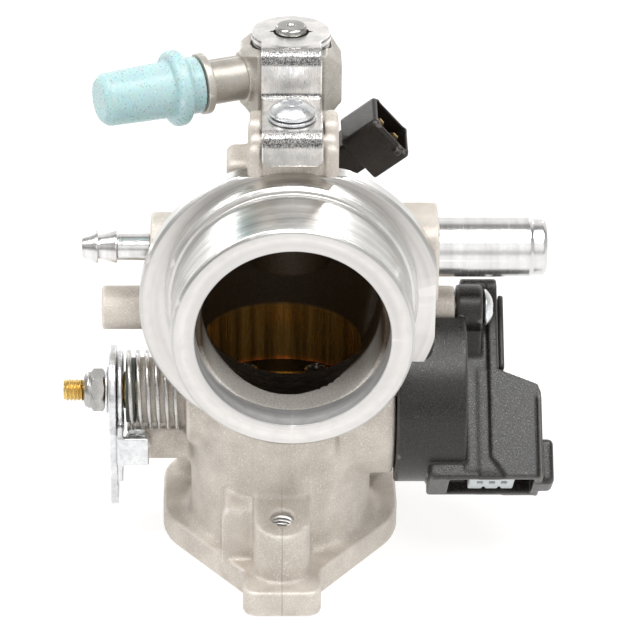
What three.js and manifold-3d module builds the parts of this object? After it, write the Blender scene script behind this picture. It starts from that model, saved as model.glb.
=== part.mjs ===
// Elbow throttle body of a small fuel-injected engine, in millimetres, +Z up.
// The throttle bore is vertical and opens through the bottom mounting flange. The
// turned inlet spigot looks along -Y. The throttle shaft runs along X.
import * as THREE from "three";
import { mergeVertices } from "three/addons/utils/BufferGeometryUtils.js";
import Module from "manifold-3d";

const wasm = await Module();
wasm.setup();

// ---- driving dimensions -------------------------------------------------------
const GAP = 0.3; // clearance between neighbouring pieces
const FINE = 40; // facets round a large cylinder
const MEDIUM = 24; // facets round a middling cylinder
const COARSE = 14; // facets round a screw or a small hole

const bore = { radius: 17, top: 64, tubeRadius: 19.5 };
const flange = { thickness: 6, halfWidth: 25.8, front: -35.7, back: 24.6, lugHalfWidth: 8.3 };
const fixing = { y: -25.7, radius: 6, height: 17.3, hole: 2.3, backX: 17.5, backY: 17 };
const inlet = {
  x: 1.8, z: 67, front: -36, mouthRadius: 20, mouthDepth: 6.4, passageRadius: 18.8,
  lipRadius: 24.9, lipEnd: -19.6, collarRadius: 26.3, shoulder: -13.6,
};
const shoulderDisc = { radius: 31.8, z: 62.9, back: -9, topFlat: 93, rightFlat: 32 };
const elbow = { radius: 23, innerRadius: 18.8, y: -4, z: 64 };
const shaft = { z: 35.3, radius: 4, threadRadius: 2.4, left: -46.9, shoulder: -34, right: 33 };
const plate = { radius: 16.6, thickness: 1.5, restTilt: 7, screwX: 7.6 };
const lever = { left: -37, right: -35.4, headRadius: 9.8, armLength: 28, armHalfWidth: 4.4 };
const stopPlate = { left: -35.1, right: -34.1, radius: 8.6 };
const stopTab = { right: -28.5, y: -8.8, thickness: 1.2, top: -6.9, bottom: -13.5 };
const idleScrew = { x: -31.2, drop: 12.6, radius: 1.8 };
const spring = { radius: 8.2, wire: 0.5, left: -33.2, right: -21.6, turns: 6 };
const hose = { y: 0, z: 69.9 }; // axis shared by the nipple and the hose tube
const nipple = { tip: -42.2, base: -28, body: 2.9, barb: 3.5, bore: 1.3 };
const hoseTube = { base: 33.1, tip: 55.8, radius: 6.3, bore: 4.9, seat: 26 };
const sideBoss = { radius: 4.7, reach: 19.2, lean: 6, left: -38.4, right: 37 };
const sensor = { tilt: 45, round: 19.8, left: 24.3, boxLeft: 38.7, boxRight: 46.6, depth: 7.5 };
const sensorSpan = { top: 23.3, mouth: -21.7, plugRight: 55.6, lugRight: 58.3 };
const injector = { x: 1.8, y: 14.3, tip: 60, seat: 66, top: 104 };
const plug = { elevation: 39, yaw: -7, roll: 11.3, origin: 75.2, start: 18.6, mouth: 28.6 };
const fuelCup = { halfX: 10.6, halfY: 8.7, bottom: 97, top: 111.4, axisZ: 104.6, heading: 202.3 };
const fuelPipe = { radius: 4.7, collar: 19.3, collarEnd: 20.9, collarRadius: 6.4, end: 39.5 };
const cap = { ring: 24.3, ringEnd: 27.8, end: 43, radius: 5.95, endRadius: 5.5, ringRadius: 7.95 };
const clamp = { halfWidth: 6.3, thick: 1.5, top: 113.2, ledge: 102.8, riser: 3.7, front: -14.2 };
const clampScrew = { y: -6.6, headRadius: 4.7, headHeight: 3, shank: 2.4, end: 90 };
const post = {
  left: -7.3, right: 11.3, front: -13.5, back: 2, cheekTop: 104, leftCheekBack: -8.6, rightCheekBack: -4,
};

// ---- materials ----------------------------------------------------------------
const finishes = {
  casting: [0xb9b3a9, 0.62, 0.6],
  castingWarm: [0xa59c8f, 0.55, 0.7],
  steel: [0x9c9a94, 0.35, 0.95],
  brass: [0xb48a45, 0.35, 0.95],
  zinc: [0xcfd4d6, 0.3, 0.9],
  yellowZinc: [0xcda64a, 0.35, 0.9],
  blackPlastic: [0x2a2522, 0.55, 0],
  greyPlastic: [0xb7bbb8, 0.5, 0],
  capPlastic: [0xa9dfe2, 0.4, 0],
  rubber: [0x1c1b1a, 0.8, 0],
  bushPlastic: [0x4d5650, 0.6, 0],
};

function finish(name) {
  const [color, roughness, metalness] = finishes[name];
  return new THREE.MeshStandardMaterial({ color, roughness, metalness });
}

// ---- closed solids and boolean work ---------------------------------------------
// Keeps positions only, merges shared corners and drops triangles of no area.
function closedGeometry(geometry) {
  const bare = new THREE.BufferGeometry();
  bare.setAttribute("position", geometry.getAttribute("position").clone());
  if (geometry.index) bare.setIndex(geometry.index.clone());
  const merged = mergeVertices(bare, 1e-4);
  const source = merged.index.array;
  const kept = [];
  for (let i = 0; i < source.length; i += 3) {
    const [a, b, c] = [source[i], source[i + 1], source[i + 2]];
    if (a !== b && b !== c && c !== a) kept.push(a, b, c);
  }
  merged.setIndex(kept);
  if (signedVolume(merged) < 0) {
    for (let i = 0; i < kept.length; i += 3) [kept[i], kept[i + 1]] = [kept[i + 1], kept[i]];
    merged.setIndex(kept);
  }
  return merged;
}

function signedVolume(geometry) {
  const position = geometry.getAttribute("position");
  const corner = [new THREE.Vector3(), new THREE.Vector3(), new THREE.Vector3()];
  let volume = 0;
  for (let i = 0; i < geometry.index.count; i += 3) {
    corner.forEach((v, k) => v.fromBufferAttribute(position, geometry.index.getX(i + k)));
    volume += corner[0].dot(corner[1].clone().cross(corner[2])) / 6;
  }
  return volume;
}

function solid(geometry) {
  const closed = closedGeometry(geometry);
  const mesh = new wasm.Mesh({
    numProp: 3,
    vertProperties: new Float32Array(closed.getAttribute("position").array),
    triVerts: new Uint32Array(closed.index.array),
  });
  return new wasm.Manifold(mesh);
}

function toGeometry(manifold) {
  const mesh = manifold.getMesh();
  const geometry = new THREE.BufferGeometry();
  geometry.setAttribute("position", new THREE.BufferAttribute(mesh.vertProperties, 3));
  geometry.setIndex(new THREE.BufferAttribute(mesh.triVerts, 1));
  geometry.computeVertexNormals();
  return geometry;
}

const join = (...solids) => solids.reduce((whole, piece) => whole.add(piece));
const cut = (whole, ...tools) => tools.reduce((left, tool) => left.subtract(tool), whole);

// ---- primitive shapes -------------------------------------------------------------
// Turns a shape made along +Y so that it lies along the named axis.
function layAlong(geometry, axis) {
  if (axis === "x") geometry.rotateZ(-Math.PI / 2);
  if (axis === "z") geometry.rotateX(Math.PI / 2);
  return geometry;
}

// Moves a shape that lies along an axis to its place across that axis.
function shiftAcross(geometry, axis, a, b) {
  const offset = { x: [0, a, b], y: [a, 0, b], z: [a, b, 0] }[axis];
  return geometry.translate(...offset);
}

function rod(axis, radius, from, to, a = 0, b = 0, facets = MEDIUM) {
  const geometry = new THREE.CylinderGeometry(radius, radius, to - from, facets);
  geometry.translate(0, (from + to) / 2, 0);
  return solid(shiftAcross(layAlong(geometry, axis), axis, a, b));
}

// A turned piece from a profile of [radius, station] corners, first and last on the axis.
function turnedGeometry(axis, profile, facets = MEDIUM) {
  const points = profile.map(([radius, station]) => new THREE.Vector2(radius, station));
  return closedGeometry(layAlong(new THREE.LatheGeometry(points, facets), axis));
}

// A ring turned round the axis: inner and outer radius, between two stations.
function ringGeometry(axis, inner, outer, from, to, facets = MEDIUM) {
  return turnedGeometry(
    axis,
    [[inner, from], [outer, from], [outer, to], [inner, to], [inner, from]],
    facets,
  );
}

function block(x0, x1, y0, y1, z0, z1) {
  const geometry = new THREE.BoxGeometry(x1 - x0, y1 - y0, z1 - z0);
  return solid(geometry.translate((x0 + x1) / 2, (y0 + y1) / 2, (z0 + z1) / 2));
}

function extruded(shape, depth, curveSegments = 8) {
  return new THREE.ExtrudeGeometry(shape, { depth, bevelEnabled: false, curveSegments });
}

// Extrudes an outline drawn in (Y, Z) along X, from one station to another.
function extrudedAlongX(shape, from, to, curveSegments) {
  const geometry = extruded(shape, to - from, curveSegments);
  const basis = new THREE.Matrix4().makeBasis(
    new THREE.Vector3(0, 1, 0), new THREE.Vector3(0, 0, 1), new THREE.Vector3(1, 0, 0),
  );
  return solid(geometry.applyMatrix4(basis).translate(from, 0, 0));
}

// Extrudes an outline drawn in (X, Z) along Y.
function extrudedAlongY(shape, from, to, curveSegments) {
  const geometry = extruded(shape, to - from, curveSegments);
  return solid(geometry.rotateX(Math.PI / 2).translate(0, to, 0));
}

function outline(points) {
  return new THREE.Shape(points.map(([x, y]) => new THREE.Vector2(x, y)));
}

function roundedRectangle(x0, x1, y0, y1, radius) {
  const shape = new THREE.Shape();
  shape.absarc(x1 - radius, y0 + radius, radius, -Math.PI / 2, 0);
  shape.absarc(x1 - radius, y1 - radius, radius, 0, Math.PI / 2);
  shape.absarc(x0 + radius, y1 - radius, radius, Math.PI / 2, Math.PI);
  shape.absarc(x0 + radius, y0 + radius, radius, Math.PI, Math.PI * 1.5);
  return shape;
}

function named(name, material, shape) {
  const geometry = shape.isBufferGeometry ? closedGeometry(shape) : toGeometry(shape);
  const mesh = new THREE.Mesh(geometry, finish(material));
  mesh.name = name;
  return mesh;
}

// ---- body casting ------------------------------------------------------------------
function flangeOutline() {
  const { halfWidth, front, back, lugHalfWidth } = flange;
  const corner = 10.5; // rounding of the two back corners
  const nose = 3; // rounding of the front lug
  const shape = new THREE.Shape();
  shape.absarc(lugHalfWidth - nose, front + nose, nose, -Math.PI / 2, 0);
  shape.lineTo(lugHalfWidth, front + 9);
  shape.lineTo(halfWidth - 3, -7);
  shape.quadraticCurveTo(halfWidth, -2.5, halfWidth, 3);
  shape.absarc(halfWidth - corner, back - corner, corner, 0, Math.PI / 2);
  shape.absarc(corner - halfWidth, back - corner, corner, Math.PI / 2, Math.PI);
  shape.lineTo(-halfWidth, 3);
  shape.quadraticCurveTo(-halfWidth, -2.5, 3 - halfWidth, -7);
  shape.lineTo(-lugHalfWidth, front + 9);
  shape.absarc(nose - lugHalfWidth, front + nose, nose, Math.PI, Math.PI * 1.5);
  return shape;
}

function flangeAndBosses() {
  const pad = solid(extruded(flangeOutline(), flange.thickness, 6));
  const front = join(
    rod("z", fixing.radius, 0, fixing.height, 0, fixing.y),
    block(-fixing.radius, fixing.radius, fixing.y, -12, 0, fixing.height),
  );
  const backs = [-1, 1].map((side) =>
    rod("z", 5.5, 0, fixing.height, side * fixing.backX, fixing.backY, COARSE));
  const rib = block(-12.7, -5, -21.8, -12, 5, 22);
  return join(pad, front, ...backs, rib);
}

function elbowOuter() {
  const tube = rod("z", bore.tubeRadius, 0, elbow.z, 0, 0, FINE);
  const ball = new THREE.SphereGeometry(elbow.radius, 24, 14).rotateX(Math.PI / 2);
  const bend = solid(ball.translate(0.6, elbow.y, elbow.z));
  const barrel = rod("y", 24, shoulderDisc.back - 2, elbow.y, inlet.x, 65.5, FINE);
  return join(tube, bend, barrel);
}

function inletSpigot() {
  const { x, z, front, lipRadius, lipEnd, collarRadius, shoulder } = inlet;
  const disc = rod("y", shoulderDisc.radius, shoulder, shoulderDisc.back, x, shoulderDisc.z, 44);
  const trimmed = cut(
    disc,
    block(-40, 50, -20, 0, shoulderDisc.topFlat, 110),
    block(shoulderDisc.rightFlat, 60, -20, 0, 20, 110),
  );
  return join(
    rod("y", lipRadius, front, lipEnd + 0.5, x, z, FINE),
    rod("y", collarRadius, lipEnd, shoulder + 0.5, x, z, FINE),
    trimmed,
  );
}

function shaftBosses() {
  return join(
    rod("x", 7.1, -27.3, -15, 0, shaft.z),
    rod("x", 11, -20.4, -14, 0, shaft.z),
    rod("x", 17.9, 12, 24, 0, shaft.z, FINE),
    block(-33.5, -12, 0.5, 6.5, 17.5, 25.6),
  );
}

function hoseBosses() {
  return join(
    rod("x", 7.4, nipple.base + GAP, -10, hose.y, hose.z),
    extrudedAlongX(roundedRectangle(-10, 6, 60.5, 78.6, 3), 15, hoseTube.base - GAP, 3),
  );
}

// Where the long side boss lies: its reach from the shaft axis, leaning back a little.
function sideBossPlace() {
  const lean = THREE.MathUtils.degToRad(sideBoss.lean);
  return [sideBoss.reach * Math.sin(lean), shaft.z + sideBoss.reach * Math.cos(lean)];
}

function sideBossRod() {
  const [y, z] = sideBossPlace();
  const rib = block(-34, 23, y - 1.4, y + 1.4, 46, z);
  return join(rod("x", sideBoss.radius, sideBoss.left, sideBoss.right, y, z), rib);
}

function clampPost() {
  const { left, right, front, back, cheekTop, leftCheekBack, rightCheekBack } = post;
  const saddleTop = clamp.ledge - clamp.thick - GAP;
  const slotLeft = injector.x - clamp.halfWidth - GAP;
  const slotRight = injector.x + clamp.halfWidth + GAP;
  const whole = join(
    block(left, right, front, back, 78, saddleTop),
    block(left, left + 3, front, leftCheekBack, 90, cheekTop),
    block(right - 3, right, front, rightCheekBack, 90, cheekTop),
    block(-11.7, left + 1, -8, back, 76, 93.5),
  );
  const saddle = block(slotLeft, slotRight, front - 1, back + 1, saddleTop, 120);
  const tabRoom = block(slotLeft, slotRight, front - 1, clamp.front + clamp.thick + GAP, 94.8, 120);
  return cut(whole, saddle, tabRoom);
}

function castingPassages() {
  const { x, z, front, mouthRadius, mouthDepth, passageRadius } = inlet;
  const ball = new THREE.SphereGeometry(elbow.innerRadius, 24, 14).rotateX(Math.PI / 2);
  return join(
    rod("z", bore.radius, -1, bore.top, 0, 0, FINE),
    rod("y", mouthRadius, front - 1, front + mouthDepth, x, z, FINE),
    rod("y", passageRadius, front, elbow.y, x, z, FINE),
    solid(ball.translate(0.6, elbow.y, elbow.z)),
  );
}

// The injector's pocket wall stands in the air passage, so it is added after the passages.
function injectorPocket() {
  const { x, y, tip, seat } = injector;
  const wall = rod("z", 9.2, tip, 75, x, y);
  const insideElbow = join(
    solid(new THREE.SphereGeometry(elbow.radius, 24, 14).rotateX(Math.PI / 2)
      .translate(0.6, elbow.y, elbow.z)),
    block(-12, 14, y, 26, seat, 80),
    block(-12, 14, 0, 26, 70, 80),
  );
  return wall.intersect(insideElbow);
}

function bodyCasting() {
  const outer = join(
    flangeAndBosses(), elbowOuter(), inletSpigot(), shaftBosses(), hoseBosses(),
    sideBossRod(), clampPost(), rod("z", 9.2, 62, 75, injector.x, injector.y),
  );
  const hollow = cut(outer, castingPassages()).add(injectorPocket());
  const backHoles = [-1, 1].map((side) =>
    rod("z", fixing.hole, -1, 20, side * fixing.backX, fixing.backY, COARSE));
  return cut(
    hollow,
    rod("z", fixing.hole, -1, 20, 0, fixing.y, COARSE),
    ...backHoles,
    rod("x", shaft.radius + 0.25, -30, 30, 0, shaft.z),
    rod("x", 5.7, -28, -18.3, 0, shaft.z),
    rod("x", 8.3, 18.3, 30, 0, shaft.z),
    rod("x", 2.9, -30, -22, hose.y, hose.z, COARSE),
    rod("x", hoseTube.radius + GAP, hoseTube.seat - GAP, 40, hose.y, hose.z),
    rod("z", 7.2, injector.seat, 90, injector.x, injector.y),
    block(8.2, 18, 9, 20, 77.4, 95),
    rod("z", 3.5, 55, injector.seat + 1, injector.x, injector.y, COARSE),
    rod("z", clampScrew.shank + GAP, clampScrew.end - 1, 120, injector.x, clampScrew.y, COARSE),
    rod("y", idleScrew.radius + GAP, -5, 10, idleScrew.x, shaft.z - idleScrew.drop, COARSE),
    rod("x", 1.5, 34, 40, ...sideBossPlace(), 12),
  );
}

// ---- throttle valve and its levers ----------------------------------------------------
// Every piece of this group is drawn about the shaft axis, which is the local X axis.
function throttleShaft() {
  const { left, shoulder, right, radius, threadRadius } = shaft;
  const turned = solid(turnedGeometry("x", [
    [0, left], [threadRadius - 0.5, left], [threadRadius, left + 0.6], [threadRadius, shoulder],
    [radius, shoulder], [radius, 26], [radius - 1, 26.5], [radius - 1, right], [0, right],
  ]));
  const slotHalf = plate.thickness / 2 + GAP;
  const slot = block(-plate.radius - 1, plate.radius + 1, -9, 9, -slotHalf, slotHalf);
  const holes = [-1, 1].map((side) => rod("z", 1.6, -9, 9, side * plate.screwX, 0, 12));
  return cut(turned, tilted(slot), ...holes.map(tilted));
}

// Tips a solid from level to the closed position of the plate: back edge down.
function tilted(manifold) {
  const geometry = toGeometry(manifold).rotateX(THREE.MathUtils.degToRad(-plate.restTilt));
  return solid(geometry);
}

function throttlePlate() {
  const half = plate.thickness / 2;
  const disc = rod("z", plate.radius, -half, half, 0, 0, FINE);
  const holes = [-1, 1].map((side) => rod("z", 1.6, -9, 9, side * plate.screwX, 0, 12));
  return tilted(cut(disc, ...holes));
}

function plateScrew(side) {
  const shank = rod("z", 1.3, -3.4, 4.5, side * plate.screwX, 0, 12);
  const head = rod("z", 2.6, 4.1, 5.6, side * plate.screwX, 0, COARSE);
  return tilted(join(shank, head));
}

function throttleLever() {
  const { left, right, headRadius, armLength, armHalfWidth } = lever;
  const shape = new THREE.Shape();
  shape.absarc(0, 0, headRadius, -0.3 * Math.PI, 1.3 * Math.PI);
  shape.absarc(0, armHalfWidth - armLength, armHalfWidth, Math.PI, Math.PI * 2);
  return cut(
    extrudedAlongX(shape, left, right, 10),
    rod("x", shaft.threadRadius + GAP, left - 1, right + 1, 0, 0, COARSE),
    rod("x", 1.7, left - 1, right + 1, 0, armHalfWidth - armLength, 12),
    rod("x", 2.2, left - 1, right + 1, 0, -14.5, 12),
  );
}

function throttleStopPlate() {
  const { left, right, radius } = stopPlate;
  const { y, thickness, top, bottom } = stopTab;
  const disc = rod("x", radius, left, right, 0, 0);
  const foot = block(left, right, y - thickness / 2, -3, -17.6, -4);
  const tab = block(left, stopTab.right, y - thickness / 2, y + thickness / 2, bottom, top);
  return cut(join(disc, foot, tab), rod("x", shaft.threadRadius + GAP, left - 1, right + 1, 0, 0, COARSE));
}

function hexagon(acrossFlats) {
  const corner = acrossFlats / Math.sqrt(3);
  const points = [];
  for (let k = 0; k < 6; k += 1) {
    const angle = (k * Math.PI) / 3;
    points.push([corner * Math.cos(angle), corner * Math.sin(angle)]);
  }
  return outline(points);
}

function leverNut() {
  const [left, right] = [-42.6, -38.1];
  const body = extrudedAlongX(hexagon(8), left + 1.5, right);
  const collar = rod("x", 3.9, left, right - 1, 0, 0);
  return cut(join(body, collar), rod("x", shaft.threadRadius + 0.2, left - 1, right + 1, 0, 0, COARSE));
}

function returnSpring() {
  const { radius, wire, left, right, turns } = spring;
  const points = [];
  const steps = turns * 12;
  for (let k = 0; k <= steps; k += 1) {
    const angle = (k / steps) * turns * Math.PI * 2;
    const x = left + ((right - left) * k) / steps;
    points.push(new THREE.Vector3(x, radius * Math.cos(angle), radius * Math.sin(angle)));
  }
  const path = new THREE.CatmullRomCurve3(points);
  const section = outline([[wire, 0], [0, wire], [-wire, 0], [0, -wire]]);
  return new THREE.ExtrudeGeometry(section, { steps, bevelEnabled: false, extrudePath: path });
}

function throttleGroup() {
  const group = new THREE.Group();
  group.position.set(0, 0, shaft.z);
  group.add(
    named("throttle_shaft", "yellowZinc", throttleShaft()),
    named("throttle_plate", "brass", throttlePlate()),
    named("plate_screw_left", "steel", plateScrew(-1)),
    named("plate_screw_right", "steel", plateScrew(1)),
    named("throttle_lever", "zinc", throttleLever()),
    named("throttle_stop_plate", "zinc", throttleStopPlate()),
    named("lever_washer", "zinc", ringGeometry("x", 2.7, 5, -37.8, -37.3, 20)),
    named("lever_nut", "zinc", leverNut()),
    named("shaft_circlip", "steel", ringGeometry("x", 4.2, 6.2, 24.6, 25.4, 20)),
    named("sensor_rotor", "blackPlastic", ringGeometry("x", 3.3, 8.4, 28.5, 32.5)),
  );
  return group;
}

// Bearings, seals and spring: they sit round the shaft but stay with the casting.
function shaftSupports() {
  const group = new THREE.Group();
  group.position.set(0, 0, shaft.z);
  group.add(
    named("bearing_left", "brass", ringGeometry("x", 4.25, 5.4, -24.6, -18.6, 24)),
    named("bearing_right", "brass", ringGeometry("x", 4.25, 8, 18.6, 21.2, 24)),
    named("shaft_seal_left", "rubber", ringGeometry("x", 4.25, 5.4, -27, -24.9, 24)),
    named("shaft_seal_right", "rubber", ringGeometry("x", 4.25, 8, 21.5, 23.7, 24)),
    named("spring_bush", "bushPlastic", ringGeometry("x", 4.4, 7, -33.4, -27.6, 24)),
    named("return_spring", "steel", returnSpring()),
  );
  return group;
}

function idleStop() {
  const z = shaft.z - idleScrew.drop;
  const tabBack = stopTab.y + stopTab.thickness / 2;
  const screw = rod("y", idleScrew.radius, tabBack + GAP, 11.5, idleScrew.x, z, COARSE);
  const nut = cut(
    extrudedAlongY(hexagon(6), -2.4, 0.2),
    rod("y", idleScrew.radius + 0.15, -5, 5, 0, 0, COARSE),
  );
  const nutMesh = named("idle_stop_locknut", "zinc", nut);
  nutMesh.position.set(idleScrew.x, 0, z);
  return [named("idle_stop_screw", "steel", screw), nutMesh];
}

// ---- hose connections -----------------------------------------------------------------
function vacuumNipple() {
  const { tip, base, body, barb, bore: hole } = nipple;
  const mesh = named("vacuum_nipple", "zinc", turnedGeometry("x", [
    [hole, tip], [2.2, tip], [barb, tip + 3], [barb, tip + 3.4], [2.5, tip + 3.5],
    [barb - 0.1, tip + 7], [barb - 0.1, tip + 7.4], [body - 0.1, tip + 7.5], [body, base],
    [2.6, base], [2.6, base + 5], [hole, base + 5], [hole, tip],
  ], 20));
  mesh.position.set(0, hose.y, hose.z);
  return mesh;
}

function bypassTube() {
  const { tip, radius, bore: hole, seat } = hoseTube;
  const mesh = named("bypass_tube", "zinc", turnedGeometry("x", [
    [hole, seat], [radius, seat], [radius, tip - 3.4], [radius - 0.3, tip - 3],
    [radius - 0.3, tip - 0.6], [radius - 0.9, tip], [hole, tip], [hole, seat],
  ]));
  mesh.position.set(0, hose.y, hose.z);
  return mesh;
}

// ---- throttle position sensor -----------------------------------------------------------
// Drawn upright about the shaft axis; the group tips it back by sensor.tilt.
// Local X runs along the shaft and local Z up the long side of the housing.
function sensorHousing() {
  const { round, left, boxLeft, boxRight, depth } = sensor;
  const { top, mouth, plugRight, lugRight } = sensorSpan;
  const drum = rod("x", round, left, boxLeft + 0.5, 0, 0, FINE);
  const box = extrudedAlongX(roundedRectangle(-depth, depth, mouth, top, 2), boxLeft, boxRight, 3);
  const plugSide = extrudedAlongY(
    outline([[42, mouth], [plugRight, mouth], [plugRight, -2.8], [54.9, -0.9], [boxRight, 2.4], [42, 2.4]]),
    -depth, depth,
  );
  const lug = block(plugRight - 1, lugRight, -4, 4, mouth - 0.2, -11.9);
  const { reach, radius, right: bossEnd } = sideBoss;
  const earLeft = bossEnd + GAP;
  const ear = join(rod("x", 4.9, earLeft, 42.9, 0, reach), block(earLeft, 42.9, -2.4, 2.4, 8, reach));
  const lowEar = rod("x", 4.9, 33.3, boxLeft + 1, 0, -reach);
  const earRoom = [
    rod("x", radius + 0.4, left - 1, earLeft, 0, reach),
    block(left - 1, earLeft, -radius - 0.4, radius + 0.4, reach, 30),
    rod("x", 2.2, 30, 50, 0, reach, COARSE),
    rod("x", 1.6, 30, 38, 0, -reach, 12),
    rod("x", radius, left - 1, 33.3, 0, -reach),
    block(left - 1, 33.3, -radius, radius, -30, -reach),
  ];
  return cut(
    join(drum, box, plugSide, lug, towardEar(ear), towardEar(lowEar)),
    rod("x", 9.7, left - 1, 36, 0, 0),
    shoulderRoom(),
    ...earRoom.map(towardEar),
    block(39.9, 53.8, -5.9, 5.9, mouth - 2, -8),
    block(boxLeft + 2, boxRight + 1, -5.8, 5.8, 3.4, 19),
  );
}

// The ears stand on a line through the shaft axis that leans less than the box does.
function earAngle() {
  return THREE.MathUtils.degToRad(sensor.tilt - sideBoss.lean);
}

function towardEar(manifold) {
  return solid(toGeometry(manifold).rotateX(earAngle()));
}

// Room for the casting's shoulder disc, turned into the sensor's own tipped frame.
function shoulderRoom() {
  const { radius, z, back, rightFlat } = shoulderDisc;
  const clear = 0.4;
  const disc = rod("y", radius + clear, -60, back + clear, inlet.x, z, 44);
  const kept = disc.intersect(block(-60, rightFlat + clear, -70, 0, 0, 120));
  const geometry = toGeometry(kept).translate(0, 0, -shaft.z);
  return solid(geometry.rotateX(THREE.MathUtils.degToRad(sensor.tilt)));
}

function terminalBlock() {
  const whole = block(40.2, 50, -5.2, 5.2, -15, -8.3);
  const slots = [42, 44.6, 47.2].map((x) => block(x, x + 1.2, -1.2, 1.2, -20, -9));
  return cut(whole, ...slots);
}

function sensorGroup() {
  const group = new THREE.Group();
  group.position.set(0, 0, shaft.z);
  group.rotation.x = THREE.MathUtils.degToRad(-sensor.tilt);
  const cover = roundedRectangle(-6.4, 6.4, 2.9, 19.6, 1);
  const pins = [42, 44.6, 47.2].map((x, k) =>
    named(`sensor_pin_${k + 1}`, "brass", block(x + 0.3, x + 0.9, -0.9, 0.9, -15.4, -9.3)));
  const screw = named("sensor_screw", "zinc", turnedGeometry("x", [
    [0, 35.2], [1.2, 35.2], [1.2, 43.3], [3.9, 43.3], [3.9, 44.2], [2.6, 45.5], [0, 45.5],
  ], 20));
  screw.position.z = sideBoss.reach;
  const bush = named("sensor_ear_bush", "zinc", ringGeometry("x", 1.5, 2, 37.4, 42.9, COARSE));
  bush.position.z = sideBoss.reach;
  const lowScrew = named("sensor_low_screw", "zinc", turnedGeometry("x", [
    [0, 31.4], [2.6, 31.4], [3.7, 32.2], [3.7, 33], [1.3, 33], [1.3, 37.6], [0, 37.6],
  ], 20));
  lowScrew.position.z = -sideBoss.reach;
  const ears = new THREE.Group();
  ears.rotation.x = earAngle();
  ears.add(screw, bush, lowScrew);
  group.add(
    named("sensor_housing", "blackPlastic", sensorHousing()),
    named("sensor_cover", "blackPlastic", extrudedAlongX(cover, 46.9, 48, 3)),
    named("sensor_terminal_block", "greyPlastic", terminalBlock()),
    ...pins,
    ears,
    named("sensor_seal", "rubber", ringGeometry("x", 8.5, 9.4, 24.3, 26)),
  );
  return group;
}

// ---- injector ----------------------------------------------------------------------------
function injectorBody() {
  return turnedGeometry("z", [
    [0, 60.5], [2.6, 60.5], [3, 61.2], [3, 65], [3, 67], [6.6, 67], [6.6, 74.6], [5.8, 75],
    [5.8, 75.6], [0, 75.6],
  ], 24);
}

function injectorTopTube() {
  return turnedGeometry("z", [
    [0, 90.3], [4.2, 90.3], [4.2, 98.4], [3.4, 98.4], [3.4, 102.2], [4.2, 102.2],
    [4.2, injector.top], [0, injector.top],
  ], 24);
}

// The overmould stands round the injector; its neck carries the plug socket.
function injectorOvermould() {
  const barrel = rod("z", 7, 75.9, 90, 0, 0, 24);
  return join(barrel, plugPiece(plugShell()));
}

// Places a solid drawn along local X from the injector axis at the plug's real angles.
function plugPiece(manifold) {
  const radians = THREE.MathUtils.degToRad;
  const turn = new THREE.Euler(radians(plug.roll), radians(-plug.elevation), radians(plug.yaw), "ZYX");
  const place = new THREE.Matrix4().makeRotationFromEuler(turn).setPosition(0, 0, plug.origin);
  return solid(toGeometry(manifold).applyMatrix4(place));
}

function plugShell() {
  const { start, mouth } = plug;
  const section = roundedRectangle(-5.1, 5.1, -5.9, 5.9, 1.8);
  const shell = extrudedAlongX(section, start, mouth, 3);
  const neck = block(9, start + 1, -3.6, 3.6, -3.2, 4.4);
  const socket = roundedRectangle(-4, 4, -4.8, 4.8, 1);
  return cut(join(shell, neck), extrudedAlongX(socket, mouth - 7.5, mouth + 1, 2));
}

function injectorGroup() {
  const group = new THREE.Group();
  group.position.set(injector.x, injector.y, 0);
  const pins = [-1, 1].map((side, k) => {
    const pin = plugPiece(block(21.4, 27, -0.4, 0.4, side * 2.4 - 1.1, side * 2.4 + 1.1));
    return named(`injector_pin_${k + 1}`, "brass", pin);
  });
  group.add(
    named("injector_body", "steel", injectorBody()),
    named("injector_overmould", "blackPlastic", injectorOvermould()),
    named("injector_top_tube", "steel", injectorTopTube()),
    named("injector_upper_oring", "rubber", ringGeometry("z", 3.6, 5.9, 98.7, 101.9, 24)),
    named("injector_lower_oring", "rubber", ringGeometry("z", 3.2, 3.42, 62.5, 64.2, 24)),
    ...pins,
  );
  return group;
}

// ---- fuel inlet, dust cap and clamp ----------------------------------------------------------
// Drawn about the injector axis. The pipe heads along local X before it is turned.
function pipeGeometry(profile, facets = 24) {
  const geometry = turnedGeometry("x", profile, facets);
  geometry.rotateZ(THREE.MathUtils.degToRad(fuelCup.heading));
  return geometry.translate(0, 0, fuelCup.axisZ);
}

function fuelInletHousing() {
  const { halfX, halfY, bottom, top } = fuelCup;
  const side = outline([
    [-halfX + 2.5, bottom], [halfX - 3, bottom], [halfX, bottom + 2.4], [halfX, top - 3.8],
    [halfX - 3.2, top], [-halfX + 4, top], [-halfX, top - 1.6], [-halfX, bottom + 2.4],
  ]);
  const plan = outline([
    [-halfX, -5.2], [-7, -halfY], [7, -halfY], [halfX, -5.2],
    [halfX, 3], [6, 8.2], [-6, 8.2], [-halfX, 3],
  ]);
  const upright = solid(extruded(plan, top + 1));
  const cup = extrudedAlongY(side, -halfY, halfY).intersect(upright);
  const neck = rod("z", 8, 92.2, bottom + 1, 0, 0);
  const { radius, collar, collarEnd, collarRadius, end } = fuelPipe;
  const pipe = solid(pipeGeometry([
    [0, 4], [radius, 4], [radius, collar], [collarRadius, collar], [collarRadius, collarEnd],
    [3.9, collarEnd], [3.9, 34], [4.4, 35], [4.4, 36.4], [3.9, 37.4], [3.9, end - 1], [3.1, end], [0, end],
  ]));
  const pipeHole = solid(pipeGeometry([[0, 0], [2.5, 0], [2.5, end + 1], [0, end + 1]], 16));
  return cut(
    join(cup, neck, pipe),
    pipeHole,
    rod("z", 6.2, 90, 105.5, 0, 0),
    rod("z", 8.4, top - 1.9, top + 1, 0, 0),
  );
}

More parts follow.
